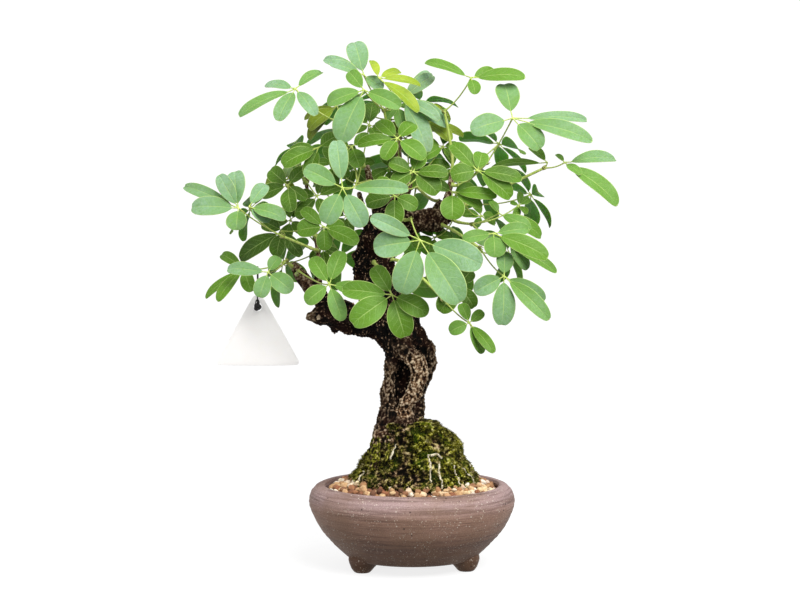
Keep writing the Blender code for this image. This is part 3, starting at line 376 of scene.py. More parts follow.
# Sprays on the far side: the wood, the end of the shoot, and the hubs of leaves grown by rule
FAR_SPRAYS = {
    "far_top": ((0, 5, 318), (-8, 22, 336), [(-34, 38, 350), (16, 48, 350)]),
    "far_right_high": ((38, 6, 286), (46, 28, 300), [(74, 42, 318)]),
    "far_right": ((31, 55, 273), (52, 58, 274), [(98, 48, 280), (62, 84, 284)]),
    "far_right_low": ((22, 40, 264), (50, 36, 240), [(82, 40, 236), (40, 72, 232)]),
    "far_middle": ((31, 56, 275), (12, 70, 286), [(10, 86, 304), (8, 98, 262)]),
    "far_left_low": ((-28, 44, 270), (-52, 50, 246), [(-46, 78, 234), (-88, 44, 228)]),
    "far_left": ((-66, 6, 264), (-86, 24, 270), [(-112, 38, 270)]),
    "far_left_high": ((-70, 5, 290), (-62, 30, 304), [(-74, 54, 314), (-36, 82, 296)]),
    "far_low": ((-9, 46, 221), (0, 56, 220), [(0, 78, 212)]),
}


# Shapes


def clamped(value, low=0.0, high=1.0):
    return max(low, min(high, value))


def shares(count):
    """From 0 to 1, in so many values."""
    return [i / (count - 1) for i in range(count)]


def turns(count):
    """Angles once round, in so many steps."""
    return [2 * math.pi * i / count for i in range(count)]


def ring(across, depth, up, radius, segments):
    """Points of a level circle, counterclockwise from above."""
    turn = 2 * math.pi / segments
    return [
        (across + radius * math.cos(i * turn), depth + radius * math.sin(i * turn), up)
        for i in range(segments)
    ]


def skin(rings, closed=False):
    """Joins rings of points into a surface; a ring of one point is a pole."""
    loops = [(sum(map(len, rings[:i])), len(rings[i])) for i in range(len(rings))]
    after = loops[1:] + loops[:1] * closed
    faces = [face for loop, other in zip(loops, after) for face in band(*loop, *other)]
    return [point for loop in rings for point in loop], faces


def band(start_a, count_a, start_b, count_b):
    """Triangles between two rings, facing out where the second lies above the first."""
    count = max(count_a, count_b)
    faces = []
    for i in range(count):
        j = (i + 1) % count
        a, a_next = start_a + i % count_a, start_a + j % count_a
        b, b_next = start_b + i % count_b, start_b + j % count_b
        if count_a > 1:
            faces.append((a, a_next, b_next))
        if count_b > 1:
            faces.append((a, b_next, b))
    return faces


def catmull(points, steps):
    """A smooth run through the points, with so many steps between each two."""
    values = [Vector(point) for point in (points[0], *points, points[-1])]
    run = []
    for before, start, end, after in zip(values, values[1:], values[2:], values[3:]):
        for t in [step / steps for step in range(steps)]:
            run.append(0.5 * (
                2 * start
                + (end - before) * t
                + (2 * before - 5 * start + 4 * end - after) * t * t
                + (3 * start - before - 3 * end + after) * t * t * t
            ))
    return run + values[-1:]


def tube(path, radii, sides, rough=0.0):
    """A closed tube along a path, whose wall may wander in and out like bark."""
    rings = [path[:1]]
    tangent = (path[1] - path[0]).normalized()
    side = tangent.orthogonal().normalized()
    for i, centre in enumerate(path):
        ahead = path[min(i + 1, len(path) - 1)] - path[max(i - 1, 0)]
        if i == 1:
            ahead = path[1] - path[0]
        side = tangent.rotation_difference(ahead.normalized()) @ side
        tangent = ahead.normalized()
        spokes = [Matrix.Rotation(turn, 3, tangent) @ side * radii[i] for turn in turns(sides)]
        rings.append([
            centre + spoke * (1 + rough * noise.noise((centre + spoke) * 0.13)) for spoke in spokes
        ])
    return skin(rings + [path[-1:]])


# Layout of the leaves, as in the part: what is in place is kept as search trees


def tree_of(shape):
    points, faces = shape
    return BVHTree.FromPolygons([Vector(point) for point in points], faces)


def crosses(tree, others):
    return any(tree.overlap(other) for other in others)


def seen(place):
    """The real place of a point that looks to be at (across, up) from the front, at a depth."""
    across, depth, up = place
    return EYE + (Vector((across, 0, up)) - EYE) * (1 + depth / -EYE.y)


def leaf_from_view(hub, face, leaflets):
    """Leaflets keep where they look to be from the front, and lie in the plane of the leaf.

    The leaf faces front, turned to the right and tilted up.
    """
    turn, tilt = map(math.radians, face)
    normal = Vector((math.sin(turn) * math.cos(tilt), -math.cos(turn) * math.cos(tilt), math.sin(tilt)))
    scale = 1 + hub[1] / -EYE.y
    tips = []
    for across, up, width in leaflets:
        flat = Vector((across, 0, up)) * scale
        limit = 0.8 * flat.length
        tip = flat + Vector((0, clamped(-flat.dot(normal) / normal.y, -limit, limit), 0))
        tips.append((tip - normal * LEAF_DROOP * flat.length, width))
    place = seen(hub)
    return place, normal, spread(place, normal, tips)


def leaf_by_rule(hub, chance):
    """Five leaflets round the hub of a leaf that faces out from the middle of the crown."""
    place = seen(hub)
    normal = ((place - CROWN_MIDDLE).normalized() + Vector((0, 0, 0.55))).normalized()
    side = normal.orthogonal().normalized()
    spin = chance.uniform(0, 360)
    tips = []
    for step in range(5):
        angle = math.radians(spin + 72 * step + chance.uniform(-9, 9))
        length = chance.uniform(*FAR_LEAFLET_LENGTHS)
        out = Matrix.Rotation(angle, 3, normal) @ side
        tips.append(((out - normal * 0.22) * length, length * chance.uniform(0.42, 0.5)))
    return place, normal, spread(place, normal, tips)


def round_leaf(spin, length):
    """Five uneven leaflets of a small leaf seen face on, as (tip across, tip up, width)."""
    leaflets = []
    for step in range(5):
        angle = math.radians(spin + 72 * step + 16 * math.sin(2.4 * step + spin))
        reach = length * (0.9 + 0.22 * math.sin(1.9 * step + spin))
        leaflets.append((reach * math.cos(angle), reach * math.sin(angle), 0.6 * reach))
    return leaflets


def leaflet_axes(hub, tip, normal):
    """A leaflet's directions along, across and out of its face, and its length."""
    axis = (tip - hub).normalized()
    side = axis.cross(normal).normalized()
    return axis, side, side.cross(axis), (tip - hub).length


def blade_edges(hub, tip, normal, width):
    """Right and left edge points of an obovate leaflet, from the end of its petiolule to its tip."""
    axis, side, face, reach = leaflet_axes(hub, tip, normal)
    stem = min(6.5, 0.2 * reach)
    half = width / 2
    arch = 0.06 * reach
    long_blade = [(0.32, 0.84 * half, arch), (0.7, half, arch), (1, 0.44 * half, -0.4 * arch)]
    short_blade = [(0.5, half, arch), (1, 0.5 * half, -0.4 * arch)]
    levels = long_blade if reach > SHORT_BLADE else short_blade
    pairs = []
    for share, half_width, lift in [(0, PETIOLULE_HALF, 0), *levels]:
        middle = hub + axis * (stem + share * (reach - stem)) + face * lift
        pairs.append((middle + side * half_width, middle - side * half_width))
    return pairs, face


def blade_guard(hub, tip, normal, width, thickness):
    """A thick copy of one leaflet, to keep its neighbours clear of it."""
    pairs, face = blade_edges(hub, tip, normal, width)
    line = [point for pair in pairs for point in pair]
    rights, lefts = list(range(0, len(line), 2)), list(range(1, len(line), 2))
    return slab(line, strip(rights, lefts), rights + lefts[::-1], [face * thickness / 2] * len(line))


def strip(rights, lefts):
    """Triangles between the right and the left edge of a leaflet."""
    pairs = list(zip(rights, lefts))
    return [face for (a, b), (c, d) in zip(pairs, pairs[1:]) for face in ((a, c, d), (a, d, b))]


def hub_corners(hub, east, north, angles):
    """A corner of the hub halfway between each leaflet and the next."""
    corners = []
    for here, after in zip(angles, angles[1:] + angles[:1]):
        between = here + ((after - here) % (2 * math.pi) or 2 * math.pi) / 2
        corners.append(hub + (east * math.cos(between) + north * math.sin(between)) * HUB_RADIUS)
    return corners


def leaf_slab(hub, normal, tips):
    """The leaflets of one leaf as one thin sheet, joined by a small flat hub."""
    east = normal.orthogonal().normalized()
    north = normal.cross(east)
    turned = [(math.atan2(tip.dot(north), tip.dot(east)) % (2 * math.pi), tip, width) for tip, width in tips]
    order = sorted(turned, key=lambda entry: entry[0])
    line = hub_corners(hub, east, north, [angle for angle, _, _ in order])
    lifts = [normal * BLADE_THICKNESS / 2] * len(line)
    top = [(0, i, i + 1) for i in range(1, len(order) - 1)]
    rim = []
    for i, (_, tip, width) in enumerate(order):
        pairs, face = blade_edges(hub, hub + tip, normal, width)
        start = len(line)
        line += [point for pair in pairs for point in pair]
        lifts += [face * BLADE_THICKNESS / 2] * (2 * len(pairs))
        rights = [(i - 1) % len(order), *range(start, len(line), 2)]
        lefts = [i, *range(start + 1, len(line), 2)]
        top += strip(rights, lefts)
        rim += rights + lefts[:0:-1]
    return slab(line, top, rim, lifts)


def slab(line, top, rim, lifts):
    """The search tree of a sheet given thickness, split alike on both faces."""
    count = len(line)
    points = [point + lift for point, lift in zip(line, lifts)]
    points += [point - lift for point, lift in zip(line, lifts)]
    faces = top + [(a + count, c + count, b + count) for a, b, c in top]
    for a, b in zip(rim, rim[1:] + rim[:1]):
        faces += [(a, a + count, b + count), (a, b + count, b)]
    return tree_of((points, faces))


def spread(hub, normal, tips):
    """Leaflets that would meet pass over each other."""
    apart, trees = [], []
    for tip, width in tips:
        for lift in SPREAD_LIFTS:
            moved = (tip + normal * lift * tip.length).normalized() * tip.length
            guard = blade_guard(hub, hub + moved, normal, width, 2 * BLADE_THICKNESS)
            if not crosses(guard, trees):
                apart.append((moved, width))
                trees.append(guard)
                break
    return apart


def bezier(start, bend, end, steps):
    return [start * (1 - t) ** 2 + bend * 2 * t * (1 - t) + end * t * t for t in shares(steps + 1)]


def stalk_path(joint, hub, normal, sway, lift=0.4, steps=4):
    """The middle of a leaf stalk, from the shoot to the hub, bending up into the leaf from behind."""
    reach = (hub - joint).length
    bend = hub - normal * 0.3 * reach + (joint - hub) * 0.35 + sway
    return bezier(joint, bend, hub + normal * lift, steps)


def stalk_tree(joint, hub, normal, sway, radius=PETIOLE_RADIUS):
    path = stalk_path(joint, hub, normal, sway)
    return tree_of(tube(path, [radius] * len(path), 3))


def place_leaf(leaf, joint, taken):
    """Slides a leaf in depth, and bends its stalk, until it's clear of all that is in place."""
    hub, normal, tips = leaf
    sight = (hub - EYE).normalized()
    best = None
    for push in PUSHES:
        centre = hub + sight * push
        free = [
            (tip, width) for tip, width in tips
            if not crosses(blade_guard(centre, centre + tip, normal, width, CLEAR_THICKNESS), taken)
        ]
        if best and len(free) <= len(best[1]):
            continue
        for sway in SWAYS:
            if not crosses(stalk_tree(joint, centre, normal, sway, 1.1 * PETIOLE_RADIUS), taken):
                best = (centre, free, sway)
                break
        if best and len(best[1]) == len(tips):
            break
    return best


def shoot(wood_tree, wood, joint):
    """A green shoot from just off the wood to the joint where its leaf stalks part."""
    end = seen(joint)
    hit, normal, _, _ = wood_tree.ray_cast(end, (Vector(wood) - end).normalized())
    if hit is None:
        hit, normal, _, _ = wood_tree.find_nearest(end)
    for step in range(8):
        start = hit + normal * (GAP + 0.08 * step)
        off = start + normal * 2.5
        path = [start, *bezier(off, off + normal * 0.2 * (end - off).length, end, 4)]
        tree = tree_of(tube(path, [SHOOT_RADIUS * (1 - 0.06 * i) for i in range(len(path))], 3))
        if not crosses(tree, [wood_tree]):
            break
    return path, end, tree


class Spray:
    """A shoot, as a path from the wood to a joint, and the leaves that are placed on it."""

    def __init__(self, wood_tree, wood, joint):
        self.path, self.joint, tree = shoot(wood_tree, wood, joint)
        self.stems = [tree]
        self.leaves = []

    def add(self, number, leaf, others, blades):
        """Places one leaf clear of the others, if there is room, and notes it, its stalk and its blades."""
        found = place_leaf(leaf, self.joint, others)
        if found:
            (centre, tips, sway), normal = found, leaf[1]
            self.stems.append(stalk_tree(self.joint, centre, normal, sway))
            blades.append(leaf_slab(centre, normal, tips))
            self.leaves.append((number, (normal, *found)))


def lay_out(wood_tree):
    """Where each shoot and leaf goes: clear of the wood, the tag and the leaves before it, as in the part."""
    chance = random.Random(LAYOUT_SEED)
    tables = {**SPRAYS, **FAR_SPRAYS}
    sprays = {name: Spray(wood_tree, wood, joint) for name, (wood, joint, _) in tables.items()}
    taken, tag, blades = [wood_tree], [], []
    for name, spray in sprays.items():
        others = taken + [other.stems[0] for other in sprays.values() if other is not spray]
        own_blades = []
        for number, entry in enumerate(tables[name][2]):
            leaf = leaf_from_view(*entry) if name in SPRAYS else leaf_by_rule(entry, chance)
            spray.add(number, leaf, others + own_blades + tag, own_blades)
            if (name, number) == TAG_LEAF:
                normal, centre, _, sway = spray.leaves[0][1]
                tag_place = hang_tag(stalk_path(spray.joint, centre, normal, sway))
                tag = tag_trees(tag_place)
        taken += spray.stems + own_blades
        blades += own_blades
    add_fill_leaves(sprays, [wood_tree, *tag, *blades])
    return sprays, tag_place


def add_fill_leaves(sprays, solid):
    """Small leaves inside the crown, clear of all but the stalks that they share a joint with."""
    for number, (name, hub, face, spin, length, _) in enumerate(FILL_LEAVES):
        leaf = leaf_from_view(hub, face, round_leaf(spin, length))
        stems = [stem for other, spray in sprays.items() if other != name for stem in spray.stems]
        sprays[name].add(FIRST_FILL + number, leaf, solid + stems, solid)


def hang_tag(stalk):
    """The tag's place: across, depth, the height of its hole, and the top and bottom of its tie."""
    across = seen((TAG_ACROSS, stalk[-1].y, TAG_HOLE_UP)).x
    stalk_point = point_at_across(stalk, across)
    hole_up = seen((TAG_ACROSS, stalk_point.y, TAG_HOLE_UP)).z
    top = stalk_point.z + PETIOLE_RADIUS + GAP + TIE_RADIUS
    bottom = hole_up + TAG_HOLE_RADIUS - GAP - TIE_RADIUS - TAG_THICKNESS / 2
    return across, stalk_point.y, hole_up, top, bottom


def point_at_across(path, across):
    """Where a path that runs left passes a given place across."""
    for start, end in zip(path, path[1:]):
        if end.x <= across <= start.x:
            return start.lerp(end, (across - start.x) / (end.x - start.x))
    return path[-1]


def tag_line(place, outline):
    across, depth, hole_up, _, _ = place
    return [Vector((across + x, depth, hole_up + z)) for x, z in outline]


def tag_trees(place):
    """The plain tag, standing on edge, and its tie."""
    across, depth, _, top, bottom = place
    line = tag_line(place, TAG_OUTLINE)
    count = len(line)
    fan = [(0, i + 1, i) for i in range(1, count - 1)]
    plate = slab(line, fan, list(range(count - 1, -1, -1)), [Vector((0, -TAG_THICKNESS / 2, 0))] * count)
    return [plate, tree_of(tie_loop(across, depth, top, bottom, 14, 4))]


def tie_loop(across, depth, top, bottom, steps, sides):
    """A closed loop of cord, over the stalk at its top and through the tag's hole at its bottom."""
    middle, half = (top + bottom) / 2, (top - bottom) / 2
    rings = []
    for angle in turns(steps):
        out = Vector((0, math.sin(angle), math.cos(angle)))
        bulge = math.copysign(abs(out.y) ** 0.6, out.y)
        centre = Vector((across, depth + TIE_HALF_WIDTH * bulge, middle + half * out.z))
        rings.append([
            centre + TIE_RADIUS * (out * math.cos(turn) + Vector((math.sin(turn), 0, 0)))
            for turn in turns(sides)
        ])
    return skin(rings, closed=True)


# Materials


def srgb(red, green, blue):
    """A colour from 0 to 255 as seen, in the linear values that shaders use."""
    values = [channel / 255 for channel in (red, green, blue)]
    return [v / 12.92 if v <= 0.04045 else ((v + 0.055) / 1.055) ** 2.4 for v in values]


class Value:
    """A value in a node tree, which adds, subtracts and multiplies like a number."""

    def __init__(self, nodes, socket):
        self.nodes, self.socket = nodes, socket

    def __add__(self, other):
        return self.nodes.math("ADD", self, other)

    def __sub__(self, other):
        return self.nodes.math("SUBTRACT", self, other)

    def __mul__(self, other):
        return self.nodes.math("MULTIPLY", self, other)


class Nodes:
    """Builds a node tree. In the names of inputs, an underscore stands for a space."""

    def __init__(self, tree):
        self.tree = tree

    def feed(self, socket, value):
        if isinstance(value, Value):
            self.tree.links.new(value.socket, socket)
        elif socket.type == "RGBA":
            socket.default_value = (*srgb(*value), 1)
        else:
            socket.default_value = value

    def fill(self, made, inputs):
        for key, value in inputs.items():
            self.feed(made.inputs[key.replace("_", " ")], value)

    def node(self, kind, output, *values, settings=None, **inputs):
        """Adds a node, feeds its first inputs and its named ones, and gives one of its outputs."""
        made = self.tree.nodes.new("ShaderNode" + kind)
        for key, value in (settings or {}).items():
            setattr(made, key, value)
        for socket, value in zip(made.inputs, values):
            self.feed(socket, value)
        self.fill(made, inputs)
        return Value(self, made.outputs[output])

    def math(self, operation, *values):
        return self.node("Math", 0, *values, settings={"operation": operation})

    def mix(self, share, first, second, kind="RGBA"):
        """Runs from the first colour or number to the second."""
        made = self.tree.nodes.new("ShaderNodeMix")
        made.data_type = kind
        start, output = MIX_SOCKETS[kind]
        for index, value in ((0, share), (start, first), (start + 1, second)):
            self.feed(made.inputs[index], value)
        return Value(self, made.outputs[output])

    def split(self, vector):
        made = self.tree.nodes.new("ShaderNodeSeparateXYZ")
        self.feed(made.inputs[0], vector)
        return [Value(self, output) for output in made.outputs]


class Shader(Nodes):
    """Builds one procedural material, node by node."""

    def __init__(self, name):
        self.material = bpy.data.materials.new(name)
        self.material.use_nodes = True
        super().__init__(self.material.node_tree)
        self.place = self.node("TexCoord", "Object")
        self.detail = self.node("Attribute", "Vector", settings={"attribute_name": "detail"})

    def band(self, value, low, high, bottom=0.0, top=1.0):
        """Runs smoothly from bottom, where value is low, to top, where it is high."""
        smooth = {"interpolation_type": "SMOOTHSTEP"}
        return self.node("MapRange", "Result", value, low, high, bottom, top, settings=smooth)

    def ramp(self, value, *stops):
        """Colours along a value; each stop is a place and a colour."""
        made = self.tree.nodes.new("ShaderNodeValToRGB")
        self.feed(made.inputs[0], value)
        elements = made.color_ramp.elements
        while len(elements) < len(stops):
            elements.new(0.5)
        for element, (place, *colour) in zip(elements, stops):
            element.position = place
            element.color = (*srgb(*colour), 1)
        return Value(self, made.outputs[0])

    def coats(self, colour, *coats):
        """Lays colours over a colour, each by its own share."""
        for share, coat in coats:
            colour = self.mix(share, colour, coat)
        return colour

    def stretched(self, x, y, z):
        return self.node("Mapping", 0, Vector=self.place, Scale=(x, y, z))

    def noise(self, scale, detail=3, roughness=0.55, where=None):
        return self.node(
            "TexNoise", "Fac", Vector=where or self.place, Scale=scale, Detail=detail, Roughness=roughness
        )

    def cells(self, scale, feature="F1"):
        kind = {"feature": feature}
        return self.node("TexVoronoi", "Distance", settings=kind, Vector=self.place, Scale=scale)

    def bump(self, height, distance, strength):
        return self.node("Bump", 0, Height=height, Distance=distance, Strength=strength)

    def finish(self, colour, **inputs):
        """Feeds the surface and gives the material."""
        self.fill(self.tree.nodes["Principled BSDF"], {"Base Color": colour, **inputs})
        return self.material


def leaf_shader(name, under):
    """Blade of a leaf: midrib, faint side veins and net, pale margin, a dusty bloom on some, and painted
    shade deep in the crown.
    """
    s = Shader(name)
    across, along, tint_and_shade = s.split(s.detail)
    off = s.math("ABSOLUTE", across)
    mottled = s.noise(420, 4)
    blue = s.band(tint_and_shade, 0.5, 0.68) * s.band(tint_and_shade, 0.8, 0.75)
    bloom = s.band(along, 0.1, 0.9, 0.35, 1.0) * s.band(s.noise(520, 5, 0.7), 0.14, 0.78)
    slant = along * 6.0 - off * 1.5 + s.noise(260, 2) * 0.35
    vein = s.band(s.math("PINGPONG", slant, 0.5), 0.07, 0.02) * s.band(off, 0.95, 0.5)
    net = s.band(s.cells(760, "DISTANCE_TO_EDGE"), 0.1, 0.02)
    rib = s.band(off, 0.05, 0.02) * s.band(along, 1.0, 0.55, 0.25, 1.0)
    margin = s.math("MAXIMUM", s.band(off, 0.93, 0.985), s.band(along, 0.975, 0.995))
    # The tone runs from dark, which is painted shade on leaves deep in the crown, to light
    colour = s.coats(
        s.ramp(tint_and_shade + (s.noise(75) - 0.5) * 0.22, *LEAF_TINT_AND_SHADE_STOPS),
        (s.band(mottled, 0.4, 0.75, 0.0, 0.22), (66, 108, 34)),
        (bloom * (blue * 0.46), (180, 210, 194)),
        (net * 0.12, VEIN_COLOUR),
        (vein * 0.26, VEIN_COLOUR),
        (rib * 0.5, (180, 206, 118)),
        (margin * 0.75, (196, 220, 132)),
    )
    if under:
        colour = s.mix(0.3, colour, (140, 172, 96))
    relief = vein * -0.5 + net * -0.2 + mottled * 0.4
    return s.finish(
        colour, Normal=s.bump(relief, -0.00022 if under else 0.00022, 0.7),
        Roughness=s.band(mottled, 0.3, 0.8, 0.42, 0.6), Specular_IOR_Level=0.24,
        Subsurface_Weight=0.55 if under else 0.1, Subsurface_Scale=0.002, Subsurface_Radius=(0.5, 1.0, 0.2),
    )


def stalk_shader():
    """Green stalks, redder and browner where detail's second value is high."""
    s = Shader("stalk")
    streak = s.noise(900, where=s.stretched(1, 1, 0.2))
    green = s.mix(s.band(streak, 0.35, 0.7), (172, 200, 78), (222, 234, 136))
    old = s.mix(s.band(s.noise(700, 4), 0.4, 0.62), (96, 74, 50), (142, 112, 84))
    colour = s.mix(s.split(s.detail)[1], green, old)
    return s.finish(colour, Normal=s.bump(streak, 0.0002, 0.5), Roughness=0.5)


def bark_shader():
    """Near-black crumbly bark: detail's values are the relief, with painted shade in its recesses, the
    paleness and the moss.
    """
    s = Shader("bark")
    relief, pale, moss = s.split(s.detail)
    fine = s.noise(1300, 5, 0.75)
    crumbs = s.noise(520, 3, 0.6)
    # The colour follows the relief: recesses darker, as painted shade; the pale ramp's top, on raised crumbs,
    # is partly painted highlight
    lift = relief + (fine - 0.5) * 0.75 + (crumbs - 0.5) * 0.75
    dark = s.ramp(lift, (0.4, 3, 2, 2), (0.64, 26, 18, 14), (0.8, 92, 69, 52), (1.0, 200, 170, 138))
    light = s.ramp(lift, (0.14, 8, 5, 3), (0.36, 80, 56, 38), (0.57, 158, 124, 91), (0.82, 248, 226, 192))
    green = s.ramp(lift, (0.2, 8, 7, 1), (0.5, 60, 60, 10), (0.75, 128, 128, 32), (1.0, 210, 204, 96))
    mossy = s.band(moss, 0.0, 0.25) * s.band(s.noise(300, 4) + moss * 0.24, 0.57, 0.69)
    rusty = s.band(s.noise(70), 0.46, 0.62) * 0.2
    colour = s.coats(dark, (pale, light), (rusty, (84, 46, 32)), (mossy, green))
    relief = s.bump(fine + crumbs, 0.0014, 0.9)
    return s.finish(colour, Normal=relief, Roughness=0.9, Specular_IOR_Level=0.12)


def moss_shader():
    """Cushion moss on dark soil, shaded by its relief as painted light: detail's values are the relief, the
    greenness and a draw per shoot.
    """
    s = Shader("moss")
    relief, green, draw = s.split(s.detail)
    fine = s.noise(1100, 4, 0.75)
    # The relief lights the moss: low places darker, as painted shade, high ones paler, partly as painted
    # highlight
    lift = relief * 0.75 + (fine - 0.5) * 0.7 + (s.noise(320, 4, 0.66) - 0.48) * 3.3
    # Painted shade: near-black blotches stand for the shade in the gaps between clumps, and darken the earth
    # there too
    gap_shade = s.band(s.noise(150, 3, 0.6), 0.5, 0.4)
    mossy = s.coats(
        s.ramp(lift, *MOSS_SHADE_TO_HIGHLIGHT_STOPS),
        (s.band(s.noise(110, 4), 0.5, 0.62, 0.0, 0.3), (80, 116, 14)),
        (gap_shade * 0.8, (20, 19, 6)),
        (draw * 0.45, (218, 214, 98)),
    )
    earth = s.ramp(
        lift - gap_shade * 0.28, (0.1, 9, 6, 4), (0.35, 60, 44, 31), (0.6, 132, 106, 78), (0.9, 204, 180, 144)
    )
    relief = s.bump(fine, 0.0012, 0.9)
    return s.finish(s.mix(green, earth, mossy), Normal=relief, Roughness=0.95, Specular_IOR_Level=0.06)


def grain_shader():
    """Rounded stones: detail's values are the shade, the warmth and a darkening in the dents."""
    s = Shader("grain")
    shade, warmth, pit = s.split(s.detail)
    fine = s.noise(1100, 5, 0.65)
    colour = s.coats(
        s.ramp(shade + (fine - 0.5) * 0.34, *STONE_STOPS),
        (warmth * 0.45, (176, 106, 68)),
        (pit * 0.7, (66, 42, 28)),
    )
    return s.finish(colour, Normal=s.bump(fine, 0.0006, 0.8), Roughness=0.8)


def stoneware_shader():
    """Unglazed brown clay with throwing bands, white grit and iron specks, with painted shade low and a
    painted highlight at the shoulder.
    """
    s = Shader("stoneware")
    rise = s.split(s.place)[2]
    bands = s.noise(230, 5, 0.65, s.stretched(0.05, 0.05, 1))
    lines = s.noise(800, 4, where=s.stretched(0.03, 0.03, 1))
    clay = s.noise(1500, 4, 0.75)
    grit = s.band(s.cells(560), 0.25, 0.16) * s.band(s.noise(80, 2), 0.36, 0.6)
    large = s.band(s.cells(260), 0.15, 0.1) * s.band(s.noise(50, 2), 0.42, 0.54)
    sparse = s.noise(65, 2, where=s.stretched(1, 1, 1.3))
    iron = s.band(s.cells(190), 0.15, 0.09) * s.band(sparse, 0.5, 0.58)
    colour = s.coats(
        # Painted shade: the clay runs darker towards the bottom
        s.mix(s.band(rise, 0.004, 0.048), (100, 70, 48), (171, 135, 117)),
        # Painted highlight: a paler mauve band at the shoulder, where the top light falls
        (s.band(rise, 0.044, 0.058), (179, 152, 150)),
        # Painted shade: darker still on the feet and the foot of the pot
        (s.band(rise, 0.015, 0.006, 0.0, 0.5), (64, 44, 30)),
        (s.band(bands, 0.45, 0.62, 0.0, 0.65), (112, 86, 74)),
        (s.band(lines, 0.5, 0.64, 0.0, 0.42), (76, 56, 48)),
        (s.band(s.noise(34, 5), 0.42, 0.68, 0.0, 0.4), (142, 112, 88)),
        (s.band(clay, 0.4, 0.7, 0.0, 0.5), (80, 58, 46)),
        (grit * 0.75, (216, 200, 182)),
        (large * 0.85, (226, 214, 198)),
        (iron * 0.9, (30, 20, 18)),
    )
    relief = s.bump(clay * 0.45 + bands * 0.8 + iron * -0.6, 0.0006, 0.8)
    rough = s.band(clay, 0.3, 0.7, 0.48, 0.7)
    return s.finish(colour, Normal=relief, Roughness=rough, Specular_IOR_Level=0.22)


def tag_shader():
    """White card with a painted glow: a little emission keeps it near white in the leaves' shade."""
    s = Shader("tag")
    # Painted light: the card glows, though it is no lamp
    s.tree.nodes["Principled BSDF"].inputs["Emission Color"].default_value = (1, 0.99, 0.98, 1)
    colour = s.mix(s.band(s.noise(60, 4), 0.35, 0.7), (213, 210, 207), (219, 216, 213))
    relief = s.bump(s.noise(800), 0.00008, 0.6)
    return s.finish(colour, Normal=relief, Roughness=0.5, Emission_Strength=0.33)


def root_shader():
    s = Shader("root")
    fine = s.noise(900, 4)
    colour = s.mix(s.band(fine, 0.3, 0.6), (128, 110, 78), (238, 228, 200))
    return s.finish(colour, Normal=s.bump(fine, 0.0005, 0.8), Roughness=0.8)


def cord_shader():
    s = Shader("cord")
    lay = s.noise(2400, 2, where=s.stretched(1, 1, 0.5))
    colour = s.mix(s.band(lay, 0.4, 0.65), (16, 16, 18), (52, 50, 50))
    return s.finish(colour, Normal=s.bump(lay, 0.0003, 0.8), Roughness=0.7)


def soil_shader():
    s = Shader("soil_grains")
    grains = s.cells(420)
    colour = s.mix(s.band(grains, 0.1, 0.6), (92, 68, 50), (30, 22, 17))
    return s.finish(colour, Normal=s.bump(grains, -0.002, 0.9), Roughness=0.95)


def drain_shader():
    s = Shader("drain_plastic")
    fine = s.noise(1800)
    colour = s.mix(fine, (20, 20, 20), (44, 44, 44))
    return s.finish(colour, Normal=s.bump(fine, 0.0001, 0.6), Roughness=0.45)


def floor_shader():
    """White floor that glows a little, so its shadow stays faint, and ends in a soft edge far out."""
    s = Shader("floor")
    x, y, _ = s.split(s.place)
    alpha = s.band(s.math("SQRT", x * x + y * y), FLOOR_SOLID, FLOOR_END, 1.0, 0.0)
    return s.finish(
        s.noise(300, 2) * 0.02 + 0.24, Alpha=alpha, Roughness=0.85, Specular_IOR_Level=0.0,
        Emission_Color=WHITE, Emission_Strength=0.82,
    )


# Meshes


def linked(name, data):
    item = bpy.data.objects.new(name, data)
    bpy.context.scene.collection.objects.link(item)
    return item


def plain_object(name, shape):
    points, faces = shape
    mesh = bpy.data.meshes.new(name)
    mesh.from_pydata([Vector(point) * MM for point in points], [], faces)
    return linked(name, mesh)


def settle(item):
    """Applies an object's modifiers."""
    graph = bpy.context.evaluated_depsgraph_get()
    mesh = bpy.data.meshes.new_from_object(item.evaluated_get(graph))
    item.modifiers.clear()
    item.data = mesh


def paint(mesh, *materials):
    """Gives a mesh these materials; all its faces then have the first."""
    mesh.materials.clear()
    for material in materials:
        mesh.materials.append(material)


def write_detail(mesh, values):
    detail = mesh.attributes.get("detail") or mesh.attributes.new("detail", "FLOAT_VECTOR", "POINT")
    detail.data.foreach_set("vector", np.asarray(values, np.float32).ravel())


def keep(item, slot, *nodes):
    """Lets a finished piece ride on the part and stand for its solids."""
    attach(item, "root")
    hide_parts(*nodes)


class Pile:
    """A mesh being gathered: points in millimetres, faces, a finish per face, three values per point."""

    def __init__(self):
        self.points, self.faces, self.finishes, self.values = [], [], [], []

    def add(self, shape, values, finish=0):
        """Adds a shape; its values are a list, with three for each point, or three for all."""
        points, faces = shape
        first = len(self.points)
        self.points += points
        self.faces += [tuple(i + first for i in face) for face in faces]
        self.finishes += [finish] * len(faces)
        self.values += values if isinstance(values, list) else [values] * len(points)

    def build(self, name, *materials):
        item = plain_object(name, (self.points, self.faces))
        paint(item.data, *materials)
        item.data.polygons.foreach_set("material_index", self.finishes)
        write_detail(item.data, self.values)
        item.data.shade_smooth()
        return item


def grown_together(name, shapes, cell):
    """One skin round overlapping closed shapes, by a voxel remesh."""
    pile = Pile()
    for shape in shapes:
        pile.add(shape, (0, 0, 0))
    item = pile.build(name)
    remesh = item.modifiers.new("skin", "REMESH")
    remesh.mode, remesh.voxel_size = "VOXEL", cell * MM
    settle(item)
    return item


def read(items, key, width, kind=float):
    """An array with a row of numbers for each of a mesh's items."""
    values = np.empty(len(items) * width, kind)
    items.foreach_get(key, values)
    return values.reshape(-1, width)


